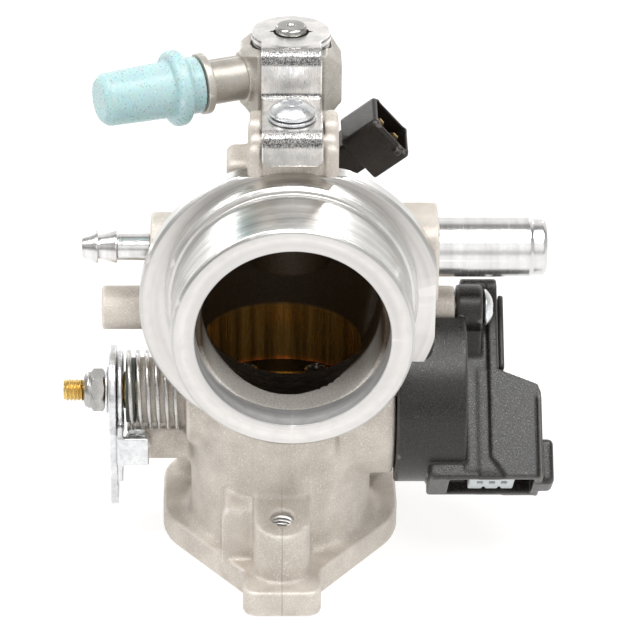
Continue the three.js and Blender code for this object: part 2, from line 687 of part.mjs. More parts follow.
function fuelHousingPlug() {
  const { top } = fuelCup;
  return turnedGeometry("z", [
    [0, top - 1.6], [8.1, top - 1.6], [8.1, top], [3.3, top], [3.3, clamp.top + 1.1], [3, clamp.top + 1.4],
    [0, clamp.top + 1.4],
  ], 28);
}

function fuelDustCap() {
  const { ring, ringEnd, end, radius, endRadius, ringRadius } = cap;
  const open = fuelPipe.collarEnd + GAP;
  const inside = 4.7;
  return solid(pipeGeometry([
    [inside, open], [radius, open], [radius, ring], [ringRadius - 0.8, ring], [ringRadius, ring + 0.8],
    [ringRadius, ringEnd - 0.8], [ringRadius - 0.8, ringEnd], [radius, ringEnd], [endRadius, end - 1.4],
    [endRadius - 1.2, end], [0, end], [0, end - 1.3], [inside - 0.4, end - 1.3], [inside, open],
  ]));
}

// The clamp strip: round eye on the plug, riser, screw ledge and a turned-down front tab.
function injectorClamp() {
  const { halfWidth, thick, top, ledge, riser, front } = clamp;
  const y = (station) => station - injector.y;
  const strip = extrudedAlongX(outline([
    [0, top], [y(riser) + 1.2, top], [y(riser), top - 1.2], [y(riser), ledge],
    [y(front) + 1.2, ledge], [y(front), ledge - 1.2], [y(front), 95.4],
    [y(front) + thick, 95.4], [y(front) + thick, ledge - thick], [y(riser) + 0.3, ledge - thick],
    [y(riser) + thick, ledge - thick + 1.2], [y(riser) + thick, top - thick], [0, top - thick],
  ]), -halfWidth, halfWidth);
  const eye = rod("z", 8.4, top - thick, top, 0, 0, FINE);
  return cut(
    join(strip, eye),
    rod("z", 3.65, top - 3, top + 1, 0, 0, 20),
    block(-4.5, 4.5, -0.6, 0.6, top - 3, top + 1),
    rod("z", clampScrew.shank + GAP, 95, top + 1, 0, y(clampScrew.y), COARSE),
  );
}

function clampScrewGeometry() {
  const { headRadius, headHeight, shank, end } = clampScrew;
  const seat = clamp.ledge + 1;
  return turnedGeometry("z", [
    [0, end], [shank, end], [shank, seat], [headRadius, seat], [headRadius, seat + 0.8],
    [headRadius - 1.2, seat + headHeight - 0.8], [headRadius - 2.6, seat + headHeight], [0, seat + headHeight],
  ], 24);
}

function fuelGroup() {
  const group = new THREE.Group();
  group.position.set(injector.x, injector.y, 0);
  const screw = named("clamp_screw", "zinc", clampScrewGeometry());
  const washer = ringGeometry("z", 2.7, 5, clamp.ledge + 0.2, clamp.ledge + 0.8, 24);
  const washerMesh = named("clamp_washer", "zinc", washer);
  screw.position.y = clampScrew.y - injector.y;
  washerMesh.position.y = clampScrew.y - injector.y;
  group.add(
    named("fuel_inlet_housing", "castingWarm", fuelInletHousing()),
    named("fuel_housing_plug", "steel", fuelHousingPlug()),
    named("fuel_dust_cap", "capPlastic", fuelDustCap()),
    named("injector_clamp", "zinc", injectorClamp()),
    screw,
    washerMesh,
  );
  return group;
}

// ---- assembly: the origin is moved to the middle of the bottom of the whole object -----------
const group = new THREE.Group();
group.add(
  named("body_casting", "casting", bodyCasting()),
  throttleGroup(),
  shaftSupports(),
  ...idleStop(),
  vacuumNipple(),
  bypassTube(),
  sensorGroup(),
  injectorGroup(),
  fuelGroup(),
);
group.updateMatrixWorld(true);
const box = new THREE.Box3().setFromObject(group, true);
group.position.set(-(box.min.x + box.max.x) / 2, -(box.min.y + box.max.y) / 2, -box.min.z);

export default group;
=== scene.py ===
import math

import bmesh
import bpy
import numpy as np
from mathutils import Matrix, Vector


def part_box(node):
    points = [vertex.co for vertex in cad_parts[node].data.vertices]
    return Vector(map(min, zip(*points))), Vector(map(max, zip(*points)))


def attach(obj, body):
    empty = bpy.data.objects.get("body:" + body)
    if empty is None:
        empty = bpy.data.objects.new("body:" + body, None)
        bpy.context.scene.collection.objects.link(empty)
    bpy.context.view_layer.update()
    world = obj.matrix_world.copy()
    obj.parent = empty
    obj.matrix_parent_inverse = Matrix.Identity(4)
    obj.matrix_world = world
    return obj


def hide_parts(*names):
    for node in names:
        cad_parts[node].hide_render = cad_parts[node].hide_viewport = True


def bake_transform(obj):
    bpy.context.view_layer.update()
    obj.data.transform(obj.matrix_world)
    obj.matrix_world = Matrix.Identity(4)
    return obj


# Looks of a small elbow throttle body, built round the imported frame. Sizes are in
# millimetres in the part's own frame: the throttle bore is the Z axis, the shaft runs
# along X and the inlet looks along -Y. MM turns them into metres.
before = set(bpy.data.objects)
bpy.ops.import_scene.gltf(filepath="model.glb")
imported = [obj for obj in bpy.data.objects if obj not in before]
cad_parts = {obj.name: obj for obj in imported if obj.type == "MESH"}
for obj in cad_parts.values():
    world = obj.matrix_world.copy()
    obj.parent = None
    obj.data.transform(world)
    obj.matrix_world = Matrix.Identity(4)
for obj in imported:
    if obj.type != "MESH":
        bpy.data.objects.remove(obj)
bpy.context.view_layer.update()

MM = 0.001
plate_low, plate_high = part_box("throttle_plate")
ORIGIN = Vector(((plate_low.x + plate_high.x) / 2, (plate_low.y + plate_high.y) / 2, 0))

# ---- driving dimensions, as in the CAD --------------------------------
BORE = dict(radius=17, top=64, tube=19.5)
FLANGE = dict(thickness=6, half=25.8, front=-35.7, back=24.6, lug=8.3, corner=10.5, nose=3)
FIXING = dict(y=-25.7, radius=6, height=17.3, hole=2.3, slope=0.22, back_x=17.5, back_y=17, back_radius=5.5)
INLET = dict(x=1.8, z=67, front=-36, mouth=20, mouth_depth=6.4, passage=18.8, dip=11.5, lip=24.9,
             lip_end=-19.6, collar=26.3, shoulder=-13.6)
DISC = dict(radius=31.8, z=62.9, back=-9, top=92.7, right=32)
ELBOW = dict(radius=23, inner=18.8, x=0.6, y=-4, z=64)
SHAFT_Z = 35.3
SHAFT = dict(radius=4, thread=2.4, left=-46.9, shoulder=-34, right=33)
PLATE = dict(radius=16.6, thickness=1.5, tilt=7, screw=7.6)
STOP_SCREW = dict(x=-31.2, z=22.7, radius=1.8)
SPRING = dict(radius=8.2, wire=0.5, left=-33.2, right=-21.6, turns=6)
HOSE_Z = 69.9
FIXINGS = {
    "front": (0, FIXING["y"]),
    "left": (-FIXING["back_x"], FIXING["back_y"]),
    "right": (FIXING["back_x"], FIXING["back_y"]),
}
SIDE_BOSS = dict(y=2.0, z=54.4, radius=4.7, left=-38.4, right=37, reach=19.2, lean=6)
SENSOR_TILT = 45
INJECTOR = dict(x=1.8, y=14.3)
PLUG = dict(elevation=39, yaw=-7, roll=11.3, origin=75.2, start=18.6, mouth=28.6)
PIPE = dict(z=104.6, heading=202.3)
CLAMP = dict(half=6.3, thick=1.5, bend=3.3, top=113.2, ledge=102.8, riser=3.7, front=-14.2, tab=95.4)
CLAMP_SCREW_Y = -6.6


# ---- places -----------------------------------------------------------
AXES = {
    "x": Matrix.Rotation(math.pi / 2, 4, "Y"),
    "y": Matrix.Rotation(-math.pi / 2, 4, "X"),
    "-y": Matrix.Rotation(math.pi / 2, 4, "X"),
    "z": Matrix.Identity(4),
}


def at(x=0.0, y=0.0, z=0.0, axis="z"):
    """A frame, in metres, at a point of the part, whose local Z lies along the named axis."""
    return Matrix.Translation(ORIGIN + Vector((x, y, z)) * MM) @ AXES[axis]


def turned(matrix, degrees, axis):
    return matrix @ Matrix.Rotation(math.radians(degrees), 4, axis)


def shifted(matrix, x=0.0, y=0.0, z=0.0):
    return matrix @ Matrix.Translation(Vector((x, y, z)) * MM)


UPRIGHT = at(INJECTOR["x"], INJECTOR["y"])
SENSOR = turned(at(0, 0, SHAFT_Z), -SENSOR_TILT, "X")
EARS = turned(at(0, 0, SHAFT_Z), -SIDE_BOSS["lean"], "X")
PLATE_PLACE = turned(at(0, 0, SHAFT_Z), -PLATE["tilt"], "X")
PLUG_PLACE = at(INJECTOR["x"], INJECTOR["y"], PLUG["origin"]) @ (
    Matrix.Rotation(math.radians(PLUG["yaw"]), 4, "Z")
    @ Matrix.Rotation(math.radians(-PLUG["elevation"]), 4, "Y")
    @ Matrix.Rotation(math.radians(PLUG["roll"]), 4, "X")
)
PIPE_PLACE = turned(at(INJECTOR["x"], INJECTOR["y"], PIPE["z"]), PIPE["heading"], "Z") @ AXES["x"]


# ---- node helpers -----------------------------------------------------
def scaled(colour, share):
    return tuple(min(1, share * c) for c in colour)


class Shader:
    """A Principled material and the few node chains that all the materials share."""

    def __init__(self, name, **constants):
        self.material = bpy.data.materials.new(name)
        self.material.use_nodes = True
        self.tree = self.material.node_tree
        self.surface = self.tree.nodes["Principled BSDF"]
        for socket, value in constants.items():
            self.surface.inputs[socket.replace("_", " ")].default_value = value
        self.place = self.add("ShaderNodeTexCoord").outputs["Object"]

    def add(self, kind, inputs=(), **settings):
        node = self.tree.nodes.new(kind)
        for key, value in settings.items():
            setattr(node, key, value)
        for socket, value in dict(inputs).items():
            if isinstance(value, bpy.types.NodeSocket):
                self.tree.links.new(value, node.inputs[socket])
            else:
                node.inputs[socket].default_value = value
        return node

    def noise(self, size, vector=None, detail=2.0, rough=0.5):
        """Noise whose features are about this many millimetres across."""
        node = self.add("ShaderNodeTexNoise", {
            "Vector": vector or self.place, "Scale": 1 / (size * MM),
            "Detail": detail, "Roughness": rough,
        })
        return node.outputs["Fac"]

    def times(self, a, b):
        return self.add("ShaderNodeMath", {0: a, 1: b}, operation="MULTIPLY").outputs[0]

    def parts(self, vector=None):
        """The X, Y and Z of a vector, by default of the place."""
        return self.add("ShaderNodeSeparateXYZ", {"Vector": vector or self.place}).outputs

    def stretched(self, x, y, z):
        """The place, stretched so that noise runs in streaks."""
        return self.add("ShaderNodeVectorMath", {0: self.place, 1: (x, y, z)},
                        operation="MULTIPLY").outputs["Vector"]

    def turning(self, angular=0.0, along=1.0):
        """Coordinates of a lathe: radius plus station, and the way round, in mm."""
        x, y, z = self.parts()
        flat = self.add("ShaderNodeCombineXYZ", {"X": x, "Y": y})
        radius = self.add("ShaderNodeVectorMath", {0: flat.outputs[0]}, operation="LENGTH")
        way = self.add("ShaderNodeVectorMath", {0: flat.outputs[0]}, operation="NORMALIZE")
        station = self.add("ShaderNodeMath", {0: z, 1: along, 2: radius.outputs["Value"]},
                           operation="MULTIPLY_ADD")
        ring = self.add("ShaderNodeVectorMath", {0: way.outputs[0], 1: (angular * MM,) * 3},
                        operation="MULTIPLY")
        lift = self.add("ShaderNodeCombineXYZ", {"Z": station.outputs[0]})
        return self.add("ShaderNodeVectorMath", {0: ring.outputs[0], 1: lift.outputs[0]},
                        operation="ADD").outputs[0]

    def ramp(self, fac, stops):
        node = self.add("ShaderNodeValToRGB", {"Fac": fac})
        ramp = node.color_ramp
        while len(ramp.elements) < len(stops):
            ramp.elements.new(0.5)
        for element, (position, colour) in zip(ramp.elements, stops):
            element.position = position
            element.color = colour if len(colour) == 4 else (*colour, 1)
        return node.outputs["Color"]

    def grey(self, fac, low, high, start=0.3, end=0.7):
        """A number that runs from low to high as fac runs from start to end."""
        return self.add("ShaderNodeMapRange", {
            "Value": fac, "From Min": start, "From Max": end, "To Min": low, "To Max": high,
        }).outputs["Result"]

    def mix(self, fac, a, b, blend="MIX"):
        node = self.add("ShaderNodeMix", {"Factor": fac}, data_type="RGBA", blend_type=blend)
        for socket, value in ((node.inputs[6], a), (node.inputs[7], b)):
            if isinstance(value, bpy.types.NodeSocket):
                self.tree.links.new(value, socket)
            else:
                socket.default_value = (*value, 1)
        return node.outputs[2]

    def worn(self, base, edge, low=0.52, high=0.6):
        """Lightens edges that stand out, where handling has polished them."""
        edges = self.add("ShaderNodeNewGeometry").outputs["Pointiness"]
        return self.mix(self.grey(edges, 0, 1, low, high), base, edge)

    def bump(self, height, depth, strength=1.0, normal=None):
        inputs = {"Height": height, "Strength": strength, "Distance": depth * MM}
        if normal:
            inputs["Normal"] = normal
        return self.add("ShaderNodeBump", inputs).outputs["Normal"]

    def link(self, **sockets):
        for socket, value in sockets.items():
            self.tree.links.new(value, self.surface.inputs[socket.replace("_", " ")])
        return self.material


# ---- materials --------------------------------------------------------
def cast_metal(name, dark, light, wear, grain=0.3, rough=(0.46, 0.68), depth=0.13, parting=False):
    """Cast and blasted alloy: fine grain, soft mottling, brighter edges and, with parting,
    the thin line where the two halves of the mould met."""
    s = Shader(name, Metallic=0.6)
    mottle = s.noise(6, detail=3)
    specks = s.noise(grain, detail=3, rough=0.7)
    colour = s.ramp(mottle, [(0.3, dark), (0.7, light)])
    colour = s.mix(s.grey(specks, 0, 0.85, 0.54, 0.72), colour, wear)
    colour = s.mix(s.grey(specks, 0.55, 0, 0.28, 0.46), colour, dark)
    colour = s.worn(colour, wear)
    if parting:
        x, _, z = s.parts()
        off = s.add("ShaderNodeMath", {0: x}, operation="ABSOLUTE").outputs[0]
        line = s.grey(off, 0.4, 0, 0.05 * MM, 0.18 * MM)
        low = s.grey(z, 1, 0.15, 16 * MM, 24 * MM)
        colour = s.mix(s.times(line, low), colour, scaled(dark, 0.3))
    pits = s.bump(specks, depth, 0.9)
    return s.link(
        Base_Color=colour,
        Roughness=s.grey(specks, rough[1], rough[0]),
        Normal=s.bump(s.noise(2.2, detail=2), 0.12, 0.5, pits),
    )


def turned_metal(name, dark, light, pitch=0.16, rough=(0.22, 0.36), depth=0.004, swirl=14.0,
                 anisotropy=0.7, metallic=1.0):
    """Turned metal: fine rings round the local Z axis, with streaks round the circle."""
    s = Shader(name, Metallic=metallic, Anisotropic=anisotropy)
    rings = s.noise(pitch, s.turning(0.02), detail=3, rough=0.65)
    bands = s.noise(2.4, s.turning(0.4), detail=2)
    streaks = s.noise(1.5, s.turning(swirl), detail=3)
    tone = s.mix(s.grey(bands, 0.0, 1.0), dark, light)
    tone = s.mix(s.grey(streaks, 0.0, 0.45, 0.45, 0.75), tone, dark)
    tone = s.mix(s.grey(rings, 0.0, 0.18, 0.4, 0.7), tone, dark)
    tone = s.worn(tone, light)
    tangent = s.add("ShaderNodeTangent", direction_type="RADIAL", axis="Z").outputs["Tangent"]
    return s.link(
        Base_Color=tone,
        Roughness=s.grey(rings, *rough),
        Normal=s.bump(rings, depth, 0.7),
        Tangent=tangent,
    )


def passage_metal(name, dark, light, shade, skin, top):
    """The passages: golden honed walls up to a level, above them the elbow's skin darkened
    with painted shade, and at the front, where it leads out to the mouth, pale skin with painted light on
    it."""
    s = Shader(name)
    _, y, z = s.parts()
    streaks = s.noise(2.6, s.turning(17, 0.04), detail=3, rough=0.6)
    scratches = s.noise(0.5, s.turning(17, 0.08), detail=3)
    specks = s.noise(0.4, detail=3, rough=0.7)
    golden = s.ramp(streaks, [(0.34, dark), (0.66, light)])
    golden = s.mix(s.grey(scratches, 0.0, 0.35, 0.45, 0.75), golden, dark)
    # Pale skin with painted light on it where the front leads out to the mouth, and dark painted shade on
    # the elbow's upper walls.
    cast = s.mix(s.grey(specks, 0, 1, 0.35, 0.65), scaled(skin, 0.6), skin)
    painted_shade = s.mix(s.grey(specks, 0, 1, 0.35, 0.7), shade, scaled(shade, 2.2))
    front = s.grey(y, 0, 1, -12.6 * MM, -15.4 * MM)
    lit = s.times(front, s.grey(z, 0, 1, (top + 15) * MM, (top + 7) * MM))
    honed = s.grey(z, 0, 1, (top + 0.6) * MM, (top - 0.6) * MM)
    honed = s.mix(front, honed, (0, 0, 0))
    return s.link(
        Base_Color=s.mix(honed, s.mix(lit, painted_shade, cast), golden),
        Metallic=s.mix(honed, (0, 0, 0), (0.55, 0.55, 0.55)),
        Roughness=s.mix(honed, (0.6, 0.6, 0.6), s.grey(scratches, 0.16, 0.32)),
        Normal=s.bump(specks, 0.05, s.mix(honed, (0.9, 0.9, 0.9), (0.05, 0.05, 0.05))),
    )


def plated_metal(name, dark, light, rough=(0.22, 0.4), grain=0.9, depth=0.02, streak=(1, 1, 1),
                 spangle=0.25, bends=0.0):
    """Plated sheet or wire: cloudy sheen, faint grain and drawn streaks. Given a share for the
    bends, a crackled painted dark reflection covers the sheet wherever it faces neither up nor level."""
    s = Shader(name, Metallic=0.95)
    clouds = s.noise(3.5, detail=3)
    grains = s.noise(grain, s.stretched(*streak), detail=4, rough=0.6)
    colour = s.ramp(clouds, [(0.32, dark), (0.68, light)])
    colour = s.mix(s.grey(grains, 0.0, spangle, 0.45, 0.7), colour, scaled(dark, 0.5))
    if bends:
        # Painted dark reflection, broken by a fine crackle, on the sloping faces of the bends.
        facing = s.parts(s.add("ShaderNodeNewGeometry").outputs["Normal"])["Z"]
        bent = s.ramp(facing, [(0.02, (0, 0, 0)), (0.16, (1, 1, 1)), (0.8, (1, 1, 1)), (0.97, (0, 0, 0))])
        crackle = s.noise(0.28, detail=3, rough=0.8)
        painted_dark_reflection = s.mix(s.grey(crackle, 0, 0.7, 0.42, 0.6), scaled(dark, 0.06), colour)
        colour = s.mix(s.mix(bends, (0, 0, 0), bent), colour, painted_dark_reflection)
    colour = s.worn(colour, light)
    return s.link(
        Base_Color=colour,
        Roughness=s.grey(grains, *rough),
        Normal=s.bump(grains, depth, 0.6),
    )


def moulded_plastic(name, dark, light, rough=(0.38, 0.55), depth=0.03, grain=0.28, wear=None,
                    fleck=None, **constants):
    """Moulded plastic: spark-eroded grain, flow clouds and paler handled edges."""
    s = Shader(name, **constants)
    flow = s.noise(9, detail=3)
    grains = s.noise(grain, detail=2, rough=0.6)
    colour = s.ramp(flow, [(0.3, dark), (0.7, light)])
    if fleck:
        colour = s.mix(s.grey(s.noise(0.3, detail=3, rough=0.8), 0, 1, 0.5, 0.66), colour, fleck)
    colour = s.worn(colour, wear or light)
    return s.link(
        Base_Color=colour,
        Roughness=s.grey(grains, *rough),
        Normal=s.bump(grains, depth, 0.5),
    )


MATERIALS = {
    "cast": cast_metal("cast_alloy", (0.54, 0.49, 0.435), (0.71, 0.655, 0.59), (0.93, 0.89, 0.83),
                       parting=True),
    "fuel": cast_metal("fuel_alloy", (0.34, 0.315, 0.28), (0.48, 0.45, 0.405), (0.72, 0.69, 0.64),
                       grain=0.22, rough=(0.3, 0.5), depth=0.03),
    "machined": turned_metal("machined_alloy", (0.46, 0.455, 0.44), (0.78, 0.77, 0.75)),
    "facing": turned_metal("faced_alloy", (0.62, 0.60, 0.585), (0.82, 0.80, 0.78), pitch=0.22,
                           rough=(0.3, 0.45)),
    "mouth": turned_metal("mouth_alloy", (0.4, 0.4, 0.4), (0.7, 0.69, 0.68), rough=(0.35, 0.5),
                          metallic=0.4),
    # The passages' last two colours are painted shade for the elbow and the pale skin that carries painted
    # light at the front.
    "bore": passage_metal("passages", (0.26, 0.13, 0.025), (0.95, 0.52, 0.12),
                          (0.045, 0.028, 0.014), (0.95, 0.9, 0.83), 47.4),
    "steel": turned_metal("turned_steel", (0.34, 0.335, 0.32), (0.54, 0.53, 0.515),
                          rough=(0.2, 0.36)),
    "tube": turned_metal("drawn_tube", (0.66, 0.65, 0.64), (0.86, 0.86, 0.86), rough=(0.16, 0.3),
                         anisotropy=0.35),
    "wire": plated_metal("spring_wire", (0.46, 0.45, 0.43), (0.66, 0.65, 0.63)),
    "zinc": plated_metal("zinc_plate", (0.66, 0.665, 0.68), (0.84, 0.85, 0.86)),
    # The clamp's bends get a crackled painted dark reflection.
    "clamp": plated_metal("zinc_strip", (0.68, 0.68, 0.67), (0.96, 0.92, 0.89), grain=0.5,
                          depth=0.03, streak=(2.6, 1, 0.3), spangle=0.4, bends=1.0),
    "yellow_zinc": plated_metal("yellow_zinc", (0.62, 0.42, 0.13), (0.86, 0.64, 0.26)),
    "brass": turned_metal("brass", (0.50, 0.33, 0.12), (0.78, 0.56, 0.26), rough=(0.22, 0.4)),
    "plate": moulded_plastic("sooty_brass", (0.006, 0.004, 0.002), (0.014, 0.009, 0.005),
                             rough=(0.5, 0.7)),
    "rim": plated_metal("plate_rim", (0.75, 0.33, 0.06), (0.95, 0.5, 0.12)),
    "black": moulded_plastic("black_plastic", (0.005, 0.0042, 0.0036), (0.010, 0.008, 0.0065),
                             wear=(0.14, 0.13, 0.12), rough=(0.22, 0.46), depth=0.1, grain=0.3,
                             fleck=(0.05, 0.046, 0.041), Specular_IOR_Level=0.5),
    "brown_black": moulded_plastic("brown_black_plastic", (0.006, 0.0042, 0.003),
                                   (0.011, 0.008, 0.006), wear=(0.10, 0.088, 0.078),
                                   rough=(0.24, 0.4), depth=0.04),
    "grey": moulded_plastic("grey_plastic", (0.42, 0.45, 0.46), (0.55, 0.58, 0.59)),
    "cap": moulded_plastic("cap_plastic", (0.53, 0.76, 0.78), (0.62, 0.82, 0.83),
                           rough=(0.25, 0.36), depth=0.01, grain=0.6, wear=(0.78, 0.94, 0.95),
                           Subsurface_Weight=0.4, Subsurface_Scale=0.002,
                           Transmission_Weight=0.4, IOR=1.4),
    "bush": moulded_plastic("bush_plastic", (0.06, 0.075, 0.066), (0.1, 0.12, 0.105)),
    "rubber": moulded_plastic("seal_rubber", (0.012, 0.012, 0.012), (0.02, 0.02, 0.02),
                              rough=(0.6, 0.8)),
}


# ---- meshes -----------------------------------------------------------
def piece(name, vertices, faces, place, material, body, slot, nodes, weighted=True):
    """Makes one object from vertices in mm, sets it on its body and hides its CAD nodes."""
    mesh = bpy.data.meshes.new(name)
    mesh.from_pydata((np.asarray(vertices, float) * MM).tolist(), [], faces)
    mesh.validate()
    tidy = bmesh.new()
    tidy.from_mesh(mesh)
    bmesh.ops.remove_doubles(tidy, verts=tidy.verts, dist=1e-7)
    bmesh.ops.recalc_face_normals(tidy, faces=tidy.faces)
    tidy.to_mesh(mesh)
    tidy.free()
    mesh.shade_smooth()
    mesh.set_sharp_from_angle(angle=math.radians(48))
    obj = bpy.data.objects.new(name, mesh)
    bpy.context.scene.collection.objects.link(obj)
    obj.matrix_world = place
    for key in [material] if isinstance(material, str) else material:
        mesh.materials.append(MATERIALS[key])
    if weighted:
        obj.modifiers.new("even_normals", "WEIGHTED_NORMAL").keep_sharp = True
    if body:
        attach(obj, body)
    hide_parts(*nodes)
    return obj


def softened(profile, radius=0.25, segments=3):
    """Rounds the corners of a (radius, station) profile, except those on the axis."""
    closed = profile[0] == profile[-1]
    points = [np.array(p, float) for p in (profile[:-1] if closed else profile)]
    count, out = len(points), []
    for k, p in enumerate(points):
        ends = not closed and k in (0, count - 1)
        a, b = points[k - 1] - p, points[(k + 1) % count] - p
        la, lb = np.linalg.norm(a), np.linalg.norm(b)
        if ends or p[0] < 1e-6 or np.dot(a, b) / (la * lb) < -0.985:
            out.append(p)
            continue
        d = min(radius, 0.4 * la, 0.4 * lb)
        start, end = p + a / la * d, p + b / lb * d
        for t in np.linspace(0, 1, segments + 1):
            out.append((1 - t) ** 2 * start + 2 * t * (1 - t) * p + t * t * end)
    if closed:
        out.append(out[0])
    return [tuple(p) for p in out]


def rings_to_faces(rings, steps, closed):
    """Faces between rings of vertices; a ring may be one vertex on the axis."""
    faces = []
    pairs = list(zip(rings, rings[1:])) + ([(rings[-1], rings[0])] if closed else [])
    for a, b in pairs:
        for j in range(steps):
            k = (j + 1) % steps
            corners = [a[j % len(a)], a[k % len(a)], b[k % len(b)], b[j % len(b)]]
            face = list(dict.fromkeys(corners))
            if len(face) > 2:
                faces.append(face)
    return faces


def lathe_mesh(profile, steps=96, soft=0.25, shape=None):
    """Vertices and faces of a profile turned round local Z. shape(angle, radius, station)
    may return another radius, for hexagons, threads and knurls."""
    profile = softened(profile, soft) if soft else [tuple(map(float, p)) for p in profile]
    closed = profile[0] == profile[-1]
    angles = np.arange(steps) * 2 * math.pi / steps
    vertices, rings = [], []
    for radius, station in profile[:-1] if closed else profile:
        if radius < 1e-6:
            rings.append([len(vertices)])
            vertices.append((0, 0, station))
            continue
        radii = shape(angles, radius, station) if shape else np.full(steps, radius)
        rings.append(list(range(len(vertices), len(vertices) + steps)))
        vertices += list(zip(radii * np.cos(angles), radii * np.sin(angles), np.full(steps, station)))
    return np.array(vertices), rings_to_faces(rings, steps, closed)


def lathe(name, profile, place, material, body, slot, nodes, **options):
    vertices, faces = lathe_mesh(profile, **options)
    return piece(name, vertices, faces, place, material, body, slot, nodes)


def ring_profile(inner, outer, start, end):
    return [(inner, start), (outer, start), (outer, end), (inner, end), (inner, start)]


def stations(points, step):
    """A profile with extra points along it, so that a shaped radius has room to vary."""
    out = []
    for (r0, z0), (r1, z1) in zip(points, points[1:]):
        parts = max(1, round(math.hypot(r1 - r0, z1 - z0) / step))
        out += [(r0 + (r1 - r0) * t / parts, z0 + (z1 - z0) * t / parts) for t in range(parts)]
    return out + [points[-1]]


def hexagonal(across, start=0.0):
    """Limits a radius to a hexagon, so that a chamfered profile makes a real nut."""
    def shape(angles, radius, station):
        turn = (angles + start + math.pi / 6) % (math.pi / 3) - math.pi / 6
        return np.minimum(radius, across / 2 / np.cos(turn))
    return shape


def nut(name, across, start, end, bore, place, material, body, slot, nodes, collar=None,
        start_angle=0.0):
    """A chamfered hexagon nut; collar is (radius, station) of a rounded locking collar."""
    corner = across / math.sqrt(3)
    tip = [(bore, start)]
    if collar:
        radius, base = collar
        tip += [(radius - 1.3, start), (radius - 0.4, start + 0.35), (radius, start + 1.1),
                (radius, base), (corner - 0.55, base), (corner, base + 0.45)]
    else:
        tip += [(corner - 0.6, start), (corner, start + 0.4)]
    outer = tip + [(corner, end - 0.4), (corner - 0.6, end), (bore, end)]
    profile = stations(outer, 0.22) + [(bore, start)]
    vertices, faces = lathe_mesh(profile, steps=144, soft=0, shape=hexagonal(across, start_angle))
    return piece(name, vertices, faces, place, material, body, slot, nodes)


def thread(name, radius, depth, pitch, start, end, place, material, body, slot, nodes,
           inside=False, tip=0.6):
    """A rod with a real helical thread, or with inside=True a threaded sleeve."""
    lines = [(radius, z) for z in np.arange(start, end + pitch / 16, pitch / 8)]

    def shape(angles, r, station):
        wave = np.abs((station / pitch - angles / (2 * math.pi)) % 1 * 2 - 1)
        cut = depth * np.clip(wave * 1.25 - 0.125, 0, 1)
        if inside:
            return r + cut
        taper = max(0.0, tip - (station - start)) * 0.7
        return np.minimum(r - cut, r - taper)

    if inside:
        profile = lines + [(radius + depth + 0.2, end), (radius + depth + 0.2, start), lines[0]]
        wall = radius + depth + 0.1
        vertices, faces = lathe_mesh(
            profile, 64, 0, lambda a, r, z: np.full(len(a), r) if r > wall else shape(a, r, z))
    else:
        profile = [(0.0, start), (radius - tip * 0.7 - 0.2, start)] + lines + [(0.0, end)]
        vertices, faces = lathe_mesh(profile, 64, 0, shape)
    return piece(name, vertices, faces, place, material, body, slot, nodes)


def tube_along(name, points, radius, place, material, slot, nodes, sides=14):
    """A round wire along a line of points, with closed and slightly rounded ends."""
    points = np.array(points, float)
    heads = np.gradient(points, axis=0)
    heads /= np.linalg.norm(heads, axis=1)[:, None]
    side = np.cross(heads[0], (0.3, 0.5, 0.81))
    rings, vertices = [], []
    last = len(points) - 1
    for k, (point, head) in enumerate(zip(points, heads)):
        side = side - head * np.dot(side, head)
        side /= np.linalg.norm(side)
        other = np.cross(head, side)
        size = radius * (0.7 if k in (0, last) else 1.0)
        angles = np.arange(sides) * 2 * math.pi / sides
        rings.append(list(range(len(vertices), len(vertices) + sides)))
        vertices += list(point + size * (np.outer(np.cos(angles), side) + np.outer(np.sin(angles), other)))
    for k in (0, last):
        rings.insert(0 if k == 0 else len(rings), [len(vertices)])
        vertices.append(points[k])
    faces = rings_to_faces(rings, sides, False)
    return piece(name, vertices, faces, place, material, None, slot, nodes)


# ---- solids by distance -----------------------------------------------
def soft_min(a, b, blend):
    if blend <= 0:
        return np.minimum(a, b)
    near = np.clip(blend - np.abs(a - b), 0, None) / blend
    return np.minimum(a, b) - near * near * blend / 4


def capped(across, along):
    """Distance to a prism from the distances across it and along it."""
    outside = np.hypot(np.maximum(across, 0), np.maximum(along, 0))
    return np.minimum(np.maximum(across, along), 0) + outside


def outline_distance(u, v, points):
    """Signed distance in a plane to a closed outline, negative inside."""
    best, inside = np.float32(1e9), False
    for (ax, ay), (bx, by) in zip(points, points[1:] + points[:1]):
        ex, ey = bx - ax, by - ay
        t = np.clip(((u - ax) * ex + (v - ay) * ey) / (ex * ex + ey * ey), 0, 1)
        best = np.minimum(best, (u - ax - t * ex) ** 2 + (v - ay - t * ey) ** 2)
        if abs(ey) > 1e-9:
            inside = inside ^ (((ay > v) != (by > v)) & (u < ex * (v - ay) / ey + ax))
    return np.where(inside, -1, 1) * np.sqrt(best)


